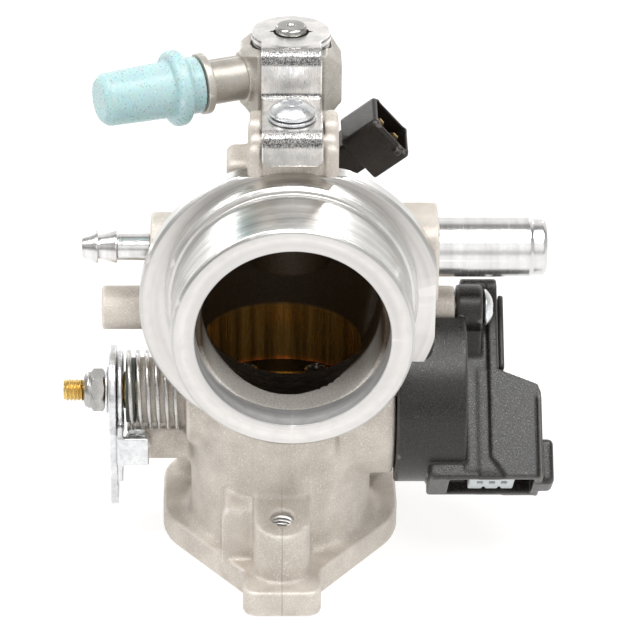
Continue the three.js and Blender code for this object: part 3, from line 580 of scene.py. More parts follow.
class Solid:
    """A solid held as distances in mm on an even grid, blended together from simple shapes
    and skinned at the end, so that cast and moulded edges get real fillets."""

    def __init__(self, low, high, step):
        self.low, self.step = np.array(low, float), step
        spans = [np.arange(a, b + step, step, dtype=np.float32) for a, b in zip(low, high)]
        self.grid = np.meshgrid(*spans, indexing="ij", sparse=True)
        self.field = np.full([len(s) for s in spans], 99, np.float32)

    def add(self, shape, blend=0.0):
        self.field = soft_min(self.field, shape, blend).astype(np.float32)

    def cut(self, shape, blend=0.0):
        self.field = -soft_min(-self.field, shape, blend).astype(np.float32)

    def rod(self, axis, radius, start, end, a=0.0, b=0.0, edge=0.0):
        """A rod along an axis; a and b are its place on the other two axes, in order."""
        k = "xyz".index(axis)
        first, second = [g for j, g in enumerate(self.grid) if j != k]
        across = np.hypot(first - a, second - b) - radius
        along = np.abs(self.grid[k] - (start + end) / 2) - (end - start) / 2
        return capped(across + edge, along + edge) - edge

    def block(self, x0, x1, y0, y1, z0, z1, edge=0.0):
        spans = [np.abs(g - (a + b) / 2) - (b - a) / 2 + edge
                 for g, (a, b) in zip(self.grid, ((x0, x1), (y0, y1), (z0, z1)))]
        return capped(capped(spans[0], spans[1]), spans[2]) - edge

    def slope(self, height, y, rise):
        """Everything under a plane that passes through (y, height) and rises towards the back."""
        return (self.grid[2] - height - rise * (self.grid[1] - y)) / math.hypot(1, rise)

    def ball(self, radius, x, y, z):
        gx, gy, gz = self.grid
        return np.sqrt((gx - x) ** 2 + (gy - y) ** 2 + (gz - z) ** 2) - radius

    def prism(self, axis, points, start, end, edge=0.0):
        """An outline on the other two axes, in order, drawn out along an axis."""
        k = "xyz".index(axis)
        first, second = [g for j, g in enumerate(self.grid) if j != k]
        across = outline_distance(first, second, points)
        along = np.abs(self.grid[k] - (start + end) / 2) - (end - start) / 2
        return capped(across + edge, along + edge) - edge

    def free_rod(self, radius, base, direction, length):
        """A rod from a point in any direction."""
        head = np.array(direction, float) / np.linalg.norm(direction)
        d = [g - c for g, c in zip(self.grid, base)]
        along = d[0] * head[0] + d[1] * head[1] + d[2] * head[2]
        square = d[0] ** 2 + d[1] ** 2 + d[2] ** 2 - along ** 2
        across = np.sqrt(np.maximum(square, 0)) - radius
        return capped(across, np.abs(along - length / 2) - length / 2)

    def sampled(self, points):
        """The distance at any points, between the grid's own values."""
        at_grid = (points - self.low) / self.step
        base = np.clip(np.floor(at_grid).astype(int), 0, np.array(self.field.shape) - 2)
        f = at_grid - base
        total = 0
        for corner in np.ndindex(2, 2, 2):
            share = np.prod(np.where(corner, f, 1 - f), axis=1)
            total = total + share * self.field[tuple((base + corner).T)]
        return total

    def skin(self, limit):
        """The surface as vertices and four-sided faces, and the share of faces to keep."""
        f, inside = self.field, self.field < 0
        corners = sum(inside[tuple(slice(c, n - 1 + c) for c, n in zip(corner, f.shape))].astype(np.int8)
                      for corner in np.ndindex(2, 2, 2))
        active = (corners > 0) & (corners < 8)
        cells = np.argwhere(active)
        index = np.full(active.shape, -1, np.int64)
        index[active] = np.arange(len(cells))
        total, hits = np.zeros((len(cells), 3)), np.zeros(len(cells))
        faces = []
        for axis in range(3):
            b, c = (axis + 1) % 3, (axis + 2) % 3
            unit = np.eye(3, dtype=int)
            for ob, oc in ((0, 0), (1, 0), (0, 1), (1, 1)):
                start = cells + ob * unit[b] + oc * unit[c]
                fa, fb = f[tuple(start.T)], f[tuple((start + unit[axis]).T)]
                cross = (fa < 0) != (fb < 0)
                t = fa[cross] / (fa[cross] - fb[cross])
                total[cross] += start[cross] + t[:, None] * unit[axis]
                hits[cross] += 1
            ahead = tuple(slice(1, None) if k == axis else slice(None) for k in range(3))
            behind = tuple(slice(None, -1) if k == axis else slice(None) for k in range(3))
            edges = np.argwhere(inside[ahead] != inside[behind])
            quad = np.stack([index[tuple((edges - ob * unit[b] - oc * unit[c]).T)]
                             for ob, oc in ((1, 1), (0, 1), (0, 0), (1, 0))], axis=1)
            outward = inside[tuple(edges.T)]
            faces.append(np.where(outward[:, None], quad, quad[:, ::-1]))
        points = self.low + self.step * total / hits[:, None]
        for _ in range(2):
            slope = np.stack([self.sampled(points + d) - self.sampled(points - d)
                              for d in np.eye(3) * self.step / 2], axis=1)
            slope /= np.maximum(np.linalg.norm(slope, axis=1), 1e-6)[:, None]
            move = np.clip(self.sampled(points), -self.step / 2, self.step / 2)
            points = points - slope * move[:, None]
        faces = np.concatenate(faces)
        return points, faces, min(1.0, limit / (2 * len(faces)))

    def piece(self, name, place, material, body, slot, nodes, limit=60000, areas=None):
        """Skins the solid into an object. areas(points) gives each face's material number."""
        points, faces, share = self.skin(limit)
        obj = piece(name, points, faces.tolist(), place, material, body, slot, nodes, weighted=False)
        if share < 1:
            thin = obj.modifiers.new("thin", "DECIMATE")
            thin.ratio = share
            bpy.context.view_layer.update()
            graph = bpy.context.evaluated_depsgraph_get()
            done = bpy.data.meshes.new_from_object(obj.evaluated_get(graph))
            obj.modifiers.clear()
            obj.data = done
            done.shade_smooth()
        obj.data.transform(place.to_3x3().to_4x4())
        obj.matrix_world = Matrix.Translation(place.translation)
        if areas:
            centres = np.zeros(len(obj.data.polygons) * 3)
            obj.data.polygons.foreach_get("center", centres)
            numbers = areas(centres.reshape(-1, 3) / MM)
            obj.data.polygons.foreach_set("material_index", numbers.astype(np.int32))
        return obj


def arc(x, y, radius, start, end, steps=8):
    """Points round part of a circle, with the angles in degrees."""
    return [(x + radius * math.cos(math.radians(a)), y + radius * math.sin(math.radians(a)))
            for a in np.linspace(start, end, steps + 1)]


def rounded_box(x0, x1, y0, y1, r):
    return (arc(x1 - r, y0 + r, r, -90, 0) + arc(x1 - r, y1 - r, r, 0, 90)
            + arc(x0 + r, y1 - r, r, 90, 180) + arc(x0 + r, y0 + r, r, 180, 270))


# ---- body casting -----------------------------------------------------
CASTING = ("root", "cast_aluminium", ["body_casting"])


def flange_outline():
    half, front, back, lug = (FLANGE[k] for k in ("half", "front", "back", "lug"))
    corner, nose = FLANGE["corner"], FLANGE["nose"]
    curve = [(half - 3 * (1 - t) ** 2, -7 * (1 - t) ** 2 - 5 * t * (1 - t) + 3 * t * t)
             for t in np.linspace(0, 1, 7)]
    right = ([(lug, front + 9)] + curve + arc(half - corner, back - corner, corner, 0, 90))
    left = [(-x, y) for x, y in reversed(right)]
    ends = [arc(x, front + nose, nose, a, a + 90) for x, a in ((lug - nose, -90), (nose - lug, 180))]
    return ends[0] + right + left + ends[1]


def cast_outside(s):
    s.add(s.prism("z", flange_outline(), 0, FLANGE["thickness"], edge=0.5))
    s.add(s.rod("z", BORE["tube"], 2, BORE["top"]), 3.0)
    s.add(s.ball(ELBOW["radius"], ELBOW["x"], ELBOW["y"], ELBOW["z"]), 3.0)
    s.add(s.rod("y", 24, DISC["back"] - 2, ELBOW["y"], INLET["x"], 65.5), 3.0)
    s.add(s.rod("y", 22.8, INLET["front"] + INLET["mouth_depth"], ELBOW["y"], INLET["x"], INLET["z"]))
    s.add(s.rod("x", 17.9, 12, 24, 0, SHAFT_Z, edge=0.6), 2.5)
    s.add(s.rod("x", 11, -20.4, -14, 0, SHAFT_Z, edge=0.6), 2.0)
    s.add(s.rod("x", 7.1, -31.1, -15, 0, SHAFT_Z, edge=0.4), 1.5)
    s.add(s.block(-33.5, -12, 0.5, 6.5, 17.5, 25.6, edge=0.8), 2.0)
    s.add(s.rod("x", 7.4, -27.7, -10, 0, HOSE_Z, edge=0.6), 2.5)
    s.add(s.prism("x", rounded_box(-10, 6, 60.5, 78.6, 3), 15, 32.8, edge=0.6), 3.0)
    side = SIDE_BOSS
    s.add(s.rod("x", side["radius"], side["left"], side["right"], side["y"], side["z"], edge=0.5), 1.5)
    s.add(s.block(-24, 23, side["y"] - 1.4, side["y"] + 1.4, 46, side["z"], edge=0.6), 2.0)


def cast_bosses(s):
    y, radius, height = FIXING["y"], FIXING["radius"], FIXING["height"]
    front = np.minimum(s.rod("z", radius, 2, height + 6, 0, y),
                       s.block(-radius, radius, y, -12, 2, height + 6))
    s.add(-soft_min(-front, -s.slope(height, y - radius, FIXING["slope"]), 0.7), 1.0)
    for sign in (-1, 1):
        s.add(s.rod("z", FIXING["back_radius"], 2, height, sign * FIXING["back_x"], FIXING["back_y"],
                    edge=0.4), 2.0)
    rib = s.block(-12.7, -5.4, -21.9, -12, 5, 24)
    s.add(-soft_min(-rib, -s.slope(17.9, -21.8, 0.36), 1.6), 0.9)
    s.add(s.rod("z", 9.2, 62, 75, INJECTOR["x"], INJECTOR["y"], edge=0.4), 2.0)


def cast_post(s):
    """The clamp's saddle and its cheeks, which stand up on either side of the strip."""
    left, right, front, back = -7.3, 11.3, -13.5, 2
    saddle = CLAMP["ledge"] - CLAMP["thick"] - 0.3
    post = s.block(left + 0.4, right - 0.4, front + 1, back, 78, saddle, edge=0.8)
    for x0, x1, behind in ((left, left + 3, -8.6), (right - 3, right, -4)):
        post = soft_min(post, s.block(x0, x1, front + 2.2, behind, 90, 104, edge=1.2), 0.6)
        post = soft_min(post, s.block(x0, x1, front, behind, 90, 99.4, edge=1.2), 0.4)
    room = s.block(INJECTOR["x"] - 6.6, INJECTOR["x"] + 6.6, front - 1, back + 1, saddle, 120)
    tab = s.block(INJECTOR["x"] - 6.6, INJECTOR["x"] + 6.6, front - 1, CLAMP["front"] + 1.8, 94.8, 120)
    post = np.maximum(np.maximum(post, -room), -tab)
    s.add(post, 1.5)
    s.add(s.block(-11.7, left + 1, -8, back, 76, 93.5, edge=1.6), 1.5)


def cast_passages(s):
    inner = s.rod("y", INLET["passage"], INLET["front"], ELBOW["y"], INLET["x"], INLET["z"])
    dip = math.radians(INLET["dip"])
    inner = np.minimum(inner, s.free_rod(INLET["passage"], (INLET["x"], INLET["front"] + 2, INLET["z"]),
                                         (0, math.cos(dip), -math.sin(dip)), 34))
    inner = soft_min(inner, s.ball(ELBOW["inner"], ELBOW["x"], ELBOW["y"], ELBOW["z"]), 1.5)
    s.cut(soft_min(inner, s.rod("z", BORE["radius"], -9, BORE["top"]), 2.5))
    pocket = s.rod("z", 9.2, 60, 75, INJECTOR["x"], INJECTOR["y"], edge=0.4)
    within = s.ball(ELBOW["radius"], ELBOW["x"], ELBOW["y"], ELBOW["z"])
    within = np.minimum(within, s.block(-12, 14, INJECTOR["y"], 26, 66, 80))
    s.add(np.maximum(pocket, np.minimum(within, s.block(-12, 14, 0, 26, 70, 80))), 0.8)


def cast_holes(s):
    for x, y in FIXINGS.values():
        s.cut(s.rod("z", FIXING["hole"] + 0.1, -1, 24, x, y))
    for radius, start, end, y, z in (
        (4.25, -33, 30, 0, SHAFT_Z), (5.7, -32, -18.3, 0, SHAFT_Z), (8.3, 18.3, 30, 0, SHAFT_Z),
        (2.9, -30, -22, 0, HOSE_Z), (6.6, 25.7, 40, 0, HOSE_Z),
        (1.5, 34, 40, SIDE_BOSS["y"], SIDE_BOSS["z"]),
    ):
        s.cut(s.rod("x", radius, start, end, y, z))
    s.cut(s.rod("z", 7.2, 66, 90, INJECTOR["x"], INJECTOR["y"]))
    s.cut(s.rod("z", 3.5, 55, 67, INJECTOR["x"], INJECTOR["y"]))
    s.cut(s.grid[2])
    s.cut(s.block(8.2, 18, 9, 20, 77.4, 95))
    s.cut(s.rod("z", 2.7, 89, 120, INJECTOR["x"], CLAMP_SCREW_Y))
    s.cut(s.rod("y", STOP_SCREW["radius"] + 0.3, -5, 10, STOP_SCREW["x"], STOP_SCREW["z"]))


def cast_areas(points):
    """0 for as-cast skin, 1 for the passages, 2 for faces that a cutter has cleaned up."""
    x, y, z = points.T
    inside = (np.hypot(x, y) < BORE["radius"] + 0.6) & (z < BORE["top"]) & (z > 0.1)
    within = y > INLET["front"] + 3
    inside |= (np.hypot(x - INLET["x"], z - INLET["z"]) < 24) & within & (y < DISC["back"] - 0.6)
    axis = INLET["z"] - math.tan(math.radians(INLET["dip"])) * (y - INLET["front"] - 2)
    inside |= (np.hypot(x - INLET["x"], z - axis) < INLET["mouth"] + 0.3) & within & (y < 0)
    elbow = np.linalg.norm(points - (ELBOW["x"], ELBOW["y"], ELBOW["z"]), axis=1)
    inside |= elbow < ELBOW["inner"] + 2.2
    faced = z < 0.12
    level = (z > FIXING["height"] - 0.12) & (z < FIXING["height"] + 0.2)
    for side in ("left", "right"):
        cx, cy = FIXINGS[side]
        faced |= (np.hypot(x - cx, y - cy) < FIXING["back_radius"] - 0.2) & level
    faced |= (x > SIDE_BOSS["right"] - 0.12) | (x < SIDE_BOSS["left"] + 0.12)
    return np.where(faced, 2, np.where(inside, 1, 0))


def make_casting():
    s = Solid((-39.6, -37.2, -1.2), (38.2, 27, 105.2), 0.55)
    cast_outside(s)
    cast_bosses(s)
    cast_post(s)
    cast_passages(s)
    cast_holes(s)
    s.piece("body_cast", at(), ("cast", "bore", "facing"), *CASTING,
            limit=185000, areas=cast_areas)


def make_inlet():
    """The turned end of the inlet: lip, collar and the thin shoulder disc behind them."""
    mouth, front = INLET["mouth"], INLET["front"]
    step = front + INLET["mouth_depth"]
    lip = lathe("inlet_lip", [
        (22.4, DISC["back"] - 0.4), (22.4, step + 0.3), (mouth, step + 0.3),
        (mouth, front), (INLET["lip"] - 0.7, front), (INLET["lip"], front + 0.7),
        (INLET["lip"], INLET["lip_end"]), (INLET["collar"] - 0.8, INLET["lip_end"]),
        (INLET["collar"], INLET["lip_end"] + 0.8), (INLET["collar"], INLET["shoulder"] + 1),
        (INLET["collar"], DISC["back"] - 0.4), (22.4, DISC["back"] - 0.4),
    ], at(INLET["x"], 0, INLET["z"], "y"), ("machined", "facing", "mouth"), *CASTING,
        steps=256, soft=0.2)
    radius, back, shoulder = DISC["radius"], DISC["back"], INLET["shoulder"]
    vertices, faces = lathe_mesh([
        (24, back), (radius - 0.5, back), (radius, back - 0.5), (radius, shoulder + 0.7),
        (radius - 0.7, shoulder), (24, shoulder), (24, back),
    ], steps=256, soft=0.2)
    # Local Y is up side down once the axis lies along the part's Y: the flat is at -Y.
    vertices[:, 1] = np.maximum(vertices[:, 1], DISC["z"] - DISC["top"])
    vertices[:, 0] = np.minimum(vertices[:, 0], DISC["right"] - INLET["x"])
    disc = piece("shoulder_disc", vertices, faces, at(INLET["x"], 0, DISC["z"], "y"),
                 ("machined", "facing"), *CASTING)
    for obj in (lip, disc):
        for face in obj.data.polygons:
            within = math.hypot(*face.center[:2]) < (mouth + 0.3) * MM
            face.material_index = 2 if within else int(abs(face.normal.z) > 0.8)


def make_fixing_threads():
    for side, (x, y) in FIXINGS.items():
        top = FIXING["height"] - 0.4
        if side == "front":
            top += FIXING["slope"] * FIXING["radius"] - 0.4
        thread(f"fixing_thread_{side}", 2.0, 0.45, 0.8, 0.6, top, at(x, y), "facing", *CASTING,
               inside=True)


# ---- throttle valve, shaft and lever ----------------------------------
def make_shaft():
    s = Solid((-34.6, -4.9, -4.9), (34, 4.9, 4.9), 0.3)
    s.add(s.rod("x", SHAFT["radius"], SHAFT["shoulder"], 26.2, edge=0.3))
    s.add(s.rod("x", SHAFT["radius"] - 1, 25, SHAFT["right"], edge=0.3))
    half = PLATE["thickness"] / 2 + 0.3
    s.cut(s.block(-PLATE["radius"] - 1, PLATE["radius"] + 1, -9, 9, -half, half))
    for sign in (-1, 1):
        s.cut(s.rod("z", 1.6, -9, 9, sign * PLATE["screw"], 0))
    s.piece("shaft_core", PLATE_PLACE, "yellow_zinc", "throttle", "yellow_zinc", ["throttle_shaft"],
            limit=40000)
    thread("shaft_thread", SHAFT["thread"], 0.34, 0.8, SHAFT["left"], SHAFT["shoulder"] + 0.2,
           at(0, 0, SHAFT_Z, "x"), "yellow_zinc", "throttle", "yellow_zinc", ["throttle_shaft"])


def make_valve():
    half = PLATE["thickness"] / 2
    plate = lathe("valve_plate", [
        (0, -half), (PLATE["radius"] - 0.3, -half), (PLATE["radius"], -half + 0.3),
        (PLATE["radius"], half - 0.3), (PLATE["radius"] - 0.3, half), (0, half),
    ], PLATE_PLACE, ("plate", "rim"), "throttle", "brass", ["throttle_plate"], steps=128, soft=0.1)
    for face in plate.data.polygons:
        face.material_index = int(math.hypot(*face.center[:2]) > (PLATE["radius"] - 0.5) * MM)
    for name, sign in (("left", -1), ("right", 1)):
        s = Solid((-3.2, -3.2, -4), (3.2, 3.2, 6), 0.16)
        s.add(s.rod("z", 1.3, -3.4, 4.5, edge=0.1))
        s.add(np.maximum(s.rod("z", 2.6, 4.1, 5.6, edge=0.25), s.ball(4.4, 0, 0, 1.45)), 0.2)
        for wide, long in ((0.35, 1.7), (1.7, 0.35)):
            s.cut(s.block(-wide, wide, -long, long, 4.9, 6))
        s.piece(f"valve_screw_{name}", shifted(PLATE_PLACE, x=sign * PLATE["screw"]), "steel",
                "throttle", "turned_steel", [f"plate_screw_{name}"], limit=16000)


def make_lever():
    head, arm, half = 9.8, 28, 4.4
    s = Solid((-37.8, -10.8, -29), (-34.6, 10.8, 11), 0.28)
    shape = arc(0, 0, head, -54, 234, 30) + arc(0, half - arm, half, 180, 360, 14)
    s.add(s.prism("x", shape, -37, -35.4, edge=0.25))
    for radius, z in ((SHAFT["thread"] + 0.3, 0), (1.7, half - arm), (2.2, -14.5)):
        s.cut(s.rod("x", radius, -39, -34, 0, z))
    s.piece("lever_arm", at(0, 0, SHAFT_Z), "zinc", "throttle", "zinc_plate", ["throttle_lever"])
    s = Solid((-36, -10.4, -18.6), (-27.6, 9.6, 9.6), 0.28)
    s.add(s.rod("x", 8.6, -35.1, -34.1, edge=0.2))
    s.add(s.block(-35.1, -34.1, -9.4, -3, -17.6, -4, edge=0.2), 1.0)
    s.add(s.block(-35.1, -28.5, -9.4, -8.2, -13.5, -6.9, edge=0.25), 0.8)
    s.cut(s.rod("x", SHAFT["thread"] + 0.3, -37, -33))
    s.piece("stop_plate", at(0, 0, SHAFT_Z), "zinc", "throttle", "zinc_plate", ["throttle_stop_plate"])


def make_shaft_rings():
    """Washers, rings and bearings: name, radii, stations, material, slot and body."""
    place = at(0, 0, SHAFT_Z, "x")
    for node, inner, outer, start, end, material, slot, body in (
        ("lever_washer", 2.7, 5, -37.8, -37.3, "zinc", "zinc_plate", "throttle"),
        ("shaft_circlip", 4.2, 6.2, 24.6, 25.4, "steel", "turned_steel", "throttle"),
        ("sensor_rotor", 3.3, 8.4, 28.5, 32.5, "black", "black_plastic", "throttle"),
        ("bearing_left", 4.25, 5.4, -24.6, -18.6, "brass", "brass", "root"),
        ("bearing_right", 4.25, 8, 18.6, 21.2, "brass", "brass", "root"),
        ("shaft_seal_left", 4.25, 5.4, -27, -24.9, "rubber", "seal_rubber", "root"),
        ("shaft_seal_right", 4.25, 8, 21.5, 23.7, "rubber", "seal_rubber", "root"),
        ("spring_bush", 4.4, 7, -33.4, -31.3, "bush", "bush_plastic", "root"),
    ):
        lathe(f"{node}_turned", ring_profile(inner, outer, start, end), place, material, body, slot,
              [node], soft=0.2)
    nut("lever_locknut", 8, -42.6, -38.1, SHAFT["thread"] + 0.2, place, "steel", "throttle",
        "zinc_plate", ["lever_nut"], collar=(3.9, -40.9))


def make_spring():
    """The return spring winds from the casting to the lever. It is put on no body, and its place is baked
    into its mesh.
    """
    radius, wire, left, right, turns = (SPRING[k] for k in ("radius", "wire", "left", "right", "turns"))
    angle = np.linspace(0, turns * 2 * math.pi, turns * 40 + 1)
    x = left + (right - left) * angle / angle[-1]
    points = np.stack([x, radius * np.cos(angle), radius * np.sin(angle)], axis=1)
    obj = tube_along("return_spring_coil", points, wire, at(0, 0, SHAFT_Z), "wire", "turned_steel",
                     ["return_spring"])
    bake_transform(obj)


def make_idle_stop():
    place = at(STOP_SCREW["x"], 0, STOP_SCREW["z"], "y")
    thread("idle_screw", STOP_SCREW["radius"], 0.24, 0.6, -7.9, 11.5, place, "steel", "root",
           "turned_steel", ["idle_stop_screw"])
    nut("idle_locknut", 5.5, -2.4, 0.2, STOP_SCREW["radius"] + 0.15, place, "zinc", "root",
        "zinc_plate", ["idle_stop_locknut"], start_angle=math.pi / 6)


# ---- hose connections -------------------------------------------------
def make_hose_ends():
    tip, base, body, barb, hole = -42.2, -28, 2.9, 3.5, 1.3
    lathe("nipple_barbed", [
        (hole, tip), (2.2, tip), (barb, tip + 3), (barb, tip + 3.4), (2.5, tip + 3.5),
        (barb - 0.1, tip + 7), (barb - 0.1, tip + 7.4), (body - 0.1, tip + 7.5), (body, base),
        (2.6, base), (2.6, base + 5), (hole, base + 5), (hole, tip),
    ], at(0, 0, HOSE_Z, "x"), "tube", "root", "zinc_plate", ["vacuum_nipple"], soft=0.18)
    tip, radius, hole, seat = 55.8, 6.3, 4.9, 26
    lathe("hose_tube", [
        (hole, seat), (radius, seat), (radius, tip - 3.5), (radius - 0.35, tip - 3),
        (radius - 0.35, tip - 0.7), (radius - 0.95, tip), (hole, tip), (hole, seat),
    ], at(0, 0, HOSE_Z, "x"), "tube", "root", "zinc_plate", ["bypass_tube"], steps=128, soft=0.25)


# ---- throttle position sensor -----------------------------------------
def sensor_outside(s):
    depth, mouth, top, right = 7.5, -21.7, 23.3, 55.6
    s.add(s.rod("x", 19.8, 24.3, 39.2, edge=0.5))
    s.add(s.prism("x", rounded_box(-depth, depth, mouth, top, 2), 38.7, 46.6, edge=0.4), 0.8)
    side = [(42, mouth), (right, mouth), (right, -2.8), (54.9, -0.9), (46.6, 2.4), (42, 2.4)]
    s.add(s.prism("y", side, -depth, depth, edge=0.4), 0.6)
    s.add(s.block(right - 2, 58.3, -4, 4, mouth - 0.2, -11.9, edge=1.2), 0.4)


def sensor_ears(s, lean):
    """The two fixing ears, on a line that leans back less than the box does."""
    head = (0, -math.sin(lean), math.cos(lean))
    reach, left, end = SIDE_BOSS["reach"], SIDE_BOSS["right"] + 0.3, 42.9
    upper, lower = [tuple(k * reach * h for h in head) for k in (1, -1)]
    s.add(s.rod("x", 4.9, left, end, upper[1], upper[2], edge=0.5))
    y, z = s.grid[1:]
    along, across = y * head[1] + z * head[2], y * head[2] - z * head[1]
    web = capped(np.abs(across) - 2.4, np.abs(along - reach / 2 - 4) - reach / 2 + 4)
    s.add(capped(web, np.abs(s.grid[0] - (left + end) / 2) - (end - left) / 2), 0.6)
    s.add(s.rod("x", 4.9, 33.3, 39.7, lower[1], lower[2], edge=0.5), 0.5)
    s.cut(s.rod("x", 5.1, 20, left, upper[1], upper[2]))
    s.cut(s.rod("x", 2.1, 30, 50, upper[1], upper[2]))
    s.cut(s.rod("x", 1.6, 30, 38, lower[1], lower[2]))
    s.cut(s.rod("x", 4.7, 20, 33.3, lower[1], lower[2]))


def sensor_hollows(s, tilt):
    s.cut(s.rod("x", 9.7, 20, 36))
    s.cut(s.block(39.9, 53.8, -5.9, 5.9, -26, -8, edge=0.4), 0.2)
    s.cut(s.block(40.7, 48, -5.8, 5.8, 3.4, 19, edge=0.5), 0.2)
    # Room for the shoulder disc, whose axis is level: seen from here it slants.
    c, q = math.cos(tilt), math.sin(tilt)
    drop = DISC["z"] - SHAFT_Z
    base = (INLET["x"], -60 * c - drop * q, -60 * -q + drop * c)
    s.cut(s.free_rod(DISC["radius"] + 0.4, base, (0, c, -q), 60 + DISC["back"] + 0.4))


def sensor_details(s):
    """The raised plate on the plug's side, its rim, the mouth's collar and its two bars."""
    plate = [(44.4, 21.5), (46.6, 21.5), (46.6, 2.4), (54.9, -0.9), (55.6, -2.8), (55.6, -21.7),
             (47.8, -21.7), (44.4, -17)]
    s.add(s.prism("y", plate, -8.0, 8.0, edge=0.3))
    s.add(s.block(54.6, 55.6, -8.5, 8.5, -21.7, -3.4, edge=0.3), 0.2)
    s.add(s.block(31.4, 43, -7.4, 7.4, -21.7, -17.4, edge=0.5))
    s.add(s.block(31.4, 34.0, -7.4, -3, -21.7, -13.6, edge=1.1), 0.3)
    s.add(s.block(34.9, 37.5, -7.0, -2, -21.7, -6.9, edge=0.6), 0.3)
    s.cut(s.block(35.8, 41, -5.9, 5.9, -24, -18.6, edge=0.4))
    for z in (-14.8, -11.6):
        s.add(s.block(32, 38, 6.6, 7.6, z - 0.5, z + 0.5, edge=0.2), 0.3)


def make_sensor():
    tilt = math.radians(SENSOR_TILT)
    s = Solid((23.4, -21, -25), (59.2, 21, 25.6), 0.4)
    sensor_outside(s)
    sensor_details(s)
    sensor_ears(s, math.radians(SENSOR_TILT - SIDE_BOSS["lean"]))
    sensor_hollows(s, tilt)
    s.piece("sensor_case", SENSOR, "black", "root", "black_plastic", ["sensor_housing"], limit=120000)
    s = Solid((46, -7.4, 2), (49, 7.4, 20.6), 0.25)
    s.add(s.prism("x", rounded_box(-6.4, 6.4, 2.9, 19.6, 1), 46.9, 48, edge=0.3))
    s.cut(s.prism("x", rounded_box(-5.4, 5.4, 3.9, 18.6, 0.8), 47.75, 49))
    s.piece("sensor_lid", SENSOR, "black", "root", "black_plastic", ["sensor_cover"], limit=16000)
    s = Solid((39.4, -6, -21.6), (50.8, 6, -7.6), 0.25)
    s.add(s.block(40.2, 50, -5.2, 5.2, -20.8, -8.3, edge=0.3))
    for x in (42, 44.6, 47.2):
        s.cut(s.block(x, x + 1.2, -1.2, 1.2, -22, -9))
    for x in (43.4, 46.8):
        s.cut(s.block(x, x + 0.5, 3.6, 6, -22, -15), 0.3)
    s.piece("terminal_block", SENSOR, "grey", "root", "grey_plastic", ["sensor_terminal_block"],
            limit=24000)
    for k, x in enumerate((42, 44.6, 47.2)):
        blade(f"sensor_blade_{k + 1}", (0.3, 0.9), SENSOR, (x + 0.6, 0, -9.3), (0, 0, -6.1),
              [f"sensor_pin_{k + 1}"])


def blade(name, half, place, base, reach, nodes):
    """A brass contact blade with a chamfered tip; half is its half thickness and width."""
    s_half, w_half = half
    length = Vector(reach)
    axis = "xyz"[max(range(3), key=lambda k: abs(length[k]))]
    rows = [(0, 1), (0.82, 1), (1, 0.55)]
    vertices, faces = [], []
    for share, size in rows:
        centre = Vector(base) + length * share
        for a, b in ((-1, -1), (1, -1), (1, 1), (-1, 1)):
            offset = {"z": (a * s_half, b * w_half, 0), "x": (0, a * s_half, b * w_half)}[axis]
            vertices.append(centre + Vector(offset) * size)
    for k in (0, 4):
        faces += [[k + j, k + (j + 1) % 4, k + 4 + (j + 1) % 4, k + 4 + j] for j in range(4)]
    faces += [[0, 1, 2, 3], [8, 9, 10, 11]]
    return piece(name, [tuple(v) for v in vertices], faces, place, "brass", "root", "brass", nodes)


def pan_screw(name, shank, head, depth, place, start, seat, node, slot="zinc_plate"):
    """A pan-head screw along local Z with a cross recess in its domed top."""
    top = seat + depth
    s = Solid((-head - 0.6, -head - 0.6, start - 0.6), (head + 0.6, head + 0.6, top + 0.6), 0.16)
    s.add(s.rod("z", shank, start, seat + 0.5, edge=0.15))
    dome = head * 1.35
    s.add(np.maximum(s.rod("z", head, seat, top, edge=0.35), s.ball(dome, 0, 0, top - dome)), 0.25)
    gx, gy, gz = s.grid
    floor = top - depth * 0.66
    flare = (gz - floor) * 0.22
    for u, v in ((gx, gy), (gy, gx)):
        cross = capped(np.abs(u) - head * 0.09 - flare, np.abs(v) - head * 0.34 - flare)
        s.cut(np.maximum(cross, floor - gz), 0.1)
    for u, v in ((gx + gy, gx - gy), (gx - gy, gx + gy)):
        line = capped(np.abs(u) / 1.414 - 0.14, np.abs(v) / 1.414 - head * 0.46)
        s.cut(np.maximum(line, top - 0.5 - gz))
    s.piece(name, place, "zinc", "root", slot, [node], limit=50000)


def make_sensor_screws():
    reach = SIDE_BOSS["reach"]
    upper = shifted(EARS, z=reach) @ AXES["x"]
    pan_screw("sensor_screw_upper", 1.2, 3.9, 2.2, upper, 35.2, 43.3, "sensor_screw")
    lathe("sensor_bush", ring_profile(1.5, 2, 37.4, 42.9), upper, "zinc", "root", "zinc_plate",
          ["sensor_ear_bush"], soft=0.1)
    lower = shifted(EARS, z=-reach) @ AXES["x"]
    lathe("sensor_screw_lower", [
        (0, 31.4), (2.6, 31.4), (3.7, 32.2), (3.7, 33), (1.3, 33), (1.3, 37.6), (0, 37.6),
    ], lower, "zinc", "root", "zinc_plate", ["sensor_low_screw"], soft=0.2)
    lathe("sensor_gasket", ring_profile(8.5, 9.4, 24.3, 26), at(0, 0, SHAFT_Z, "x"), "rubber", "root",
          "seal_rubber", ["sensor_seal"])


# ---- injector ---------------------------------------------------------
def make_injector():
    place = UPRIGHT
    lathe("injector_barrel", [
        (0, 60.5), (2.6, 60.5), (3, 61.2), (3, 65), (3, 67), (6.6, 67), (6.6, 74.6), (5.8, 75),
        (5.8, 75.6), (0, 75.6),
    ], place, "steel", "root", "turned_steel", ["injector_body"])
    lathe("injector_tube", [
        (0, 90.3), (4.2, 90.3), (4.2, 98.4), (3.4, 98.4), (3.4, 102.2), (4.2, 102.2), (4.2, 104), (0, 104),
    ], place, "steel", "root", "turned_steel", ["injector_top_tube"])
    for node, inner, outer, start, end in (("injector_upper_oring", 3.6, 5.9, 98.7, 101.9),
                                           ("injector_lower_oring", 3.2, 3.42, 62.5, 64.2)):
        lathe(f"{node}_round", ring_profile(inner, outer, start, end), place, "rubber", "root",
              "seal_rubber", [node], soft=1.1)


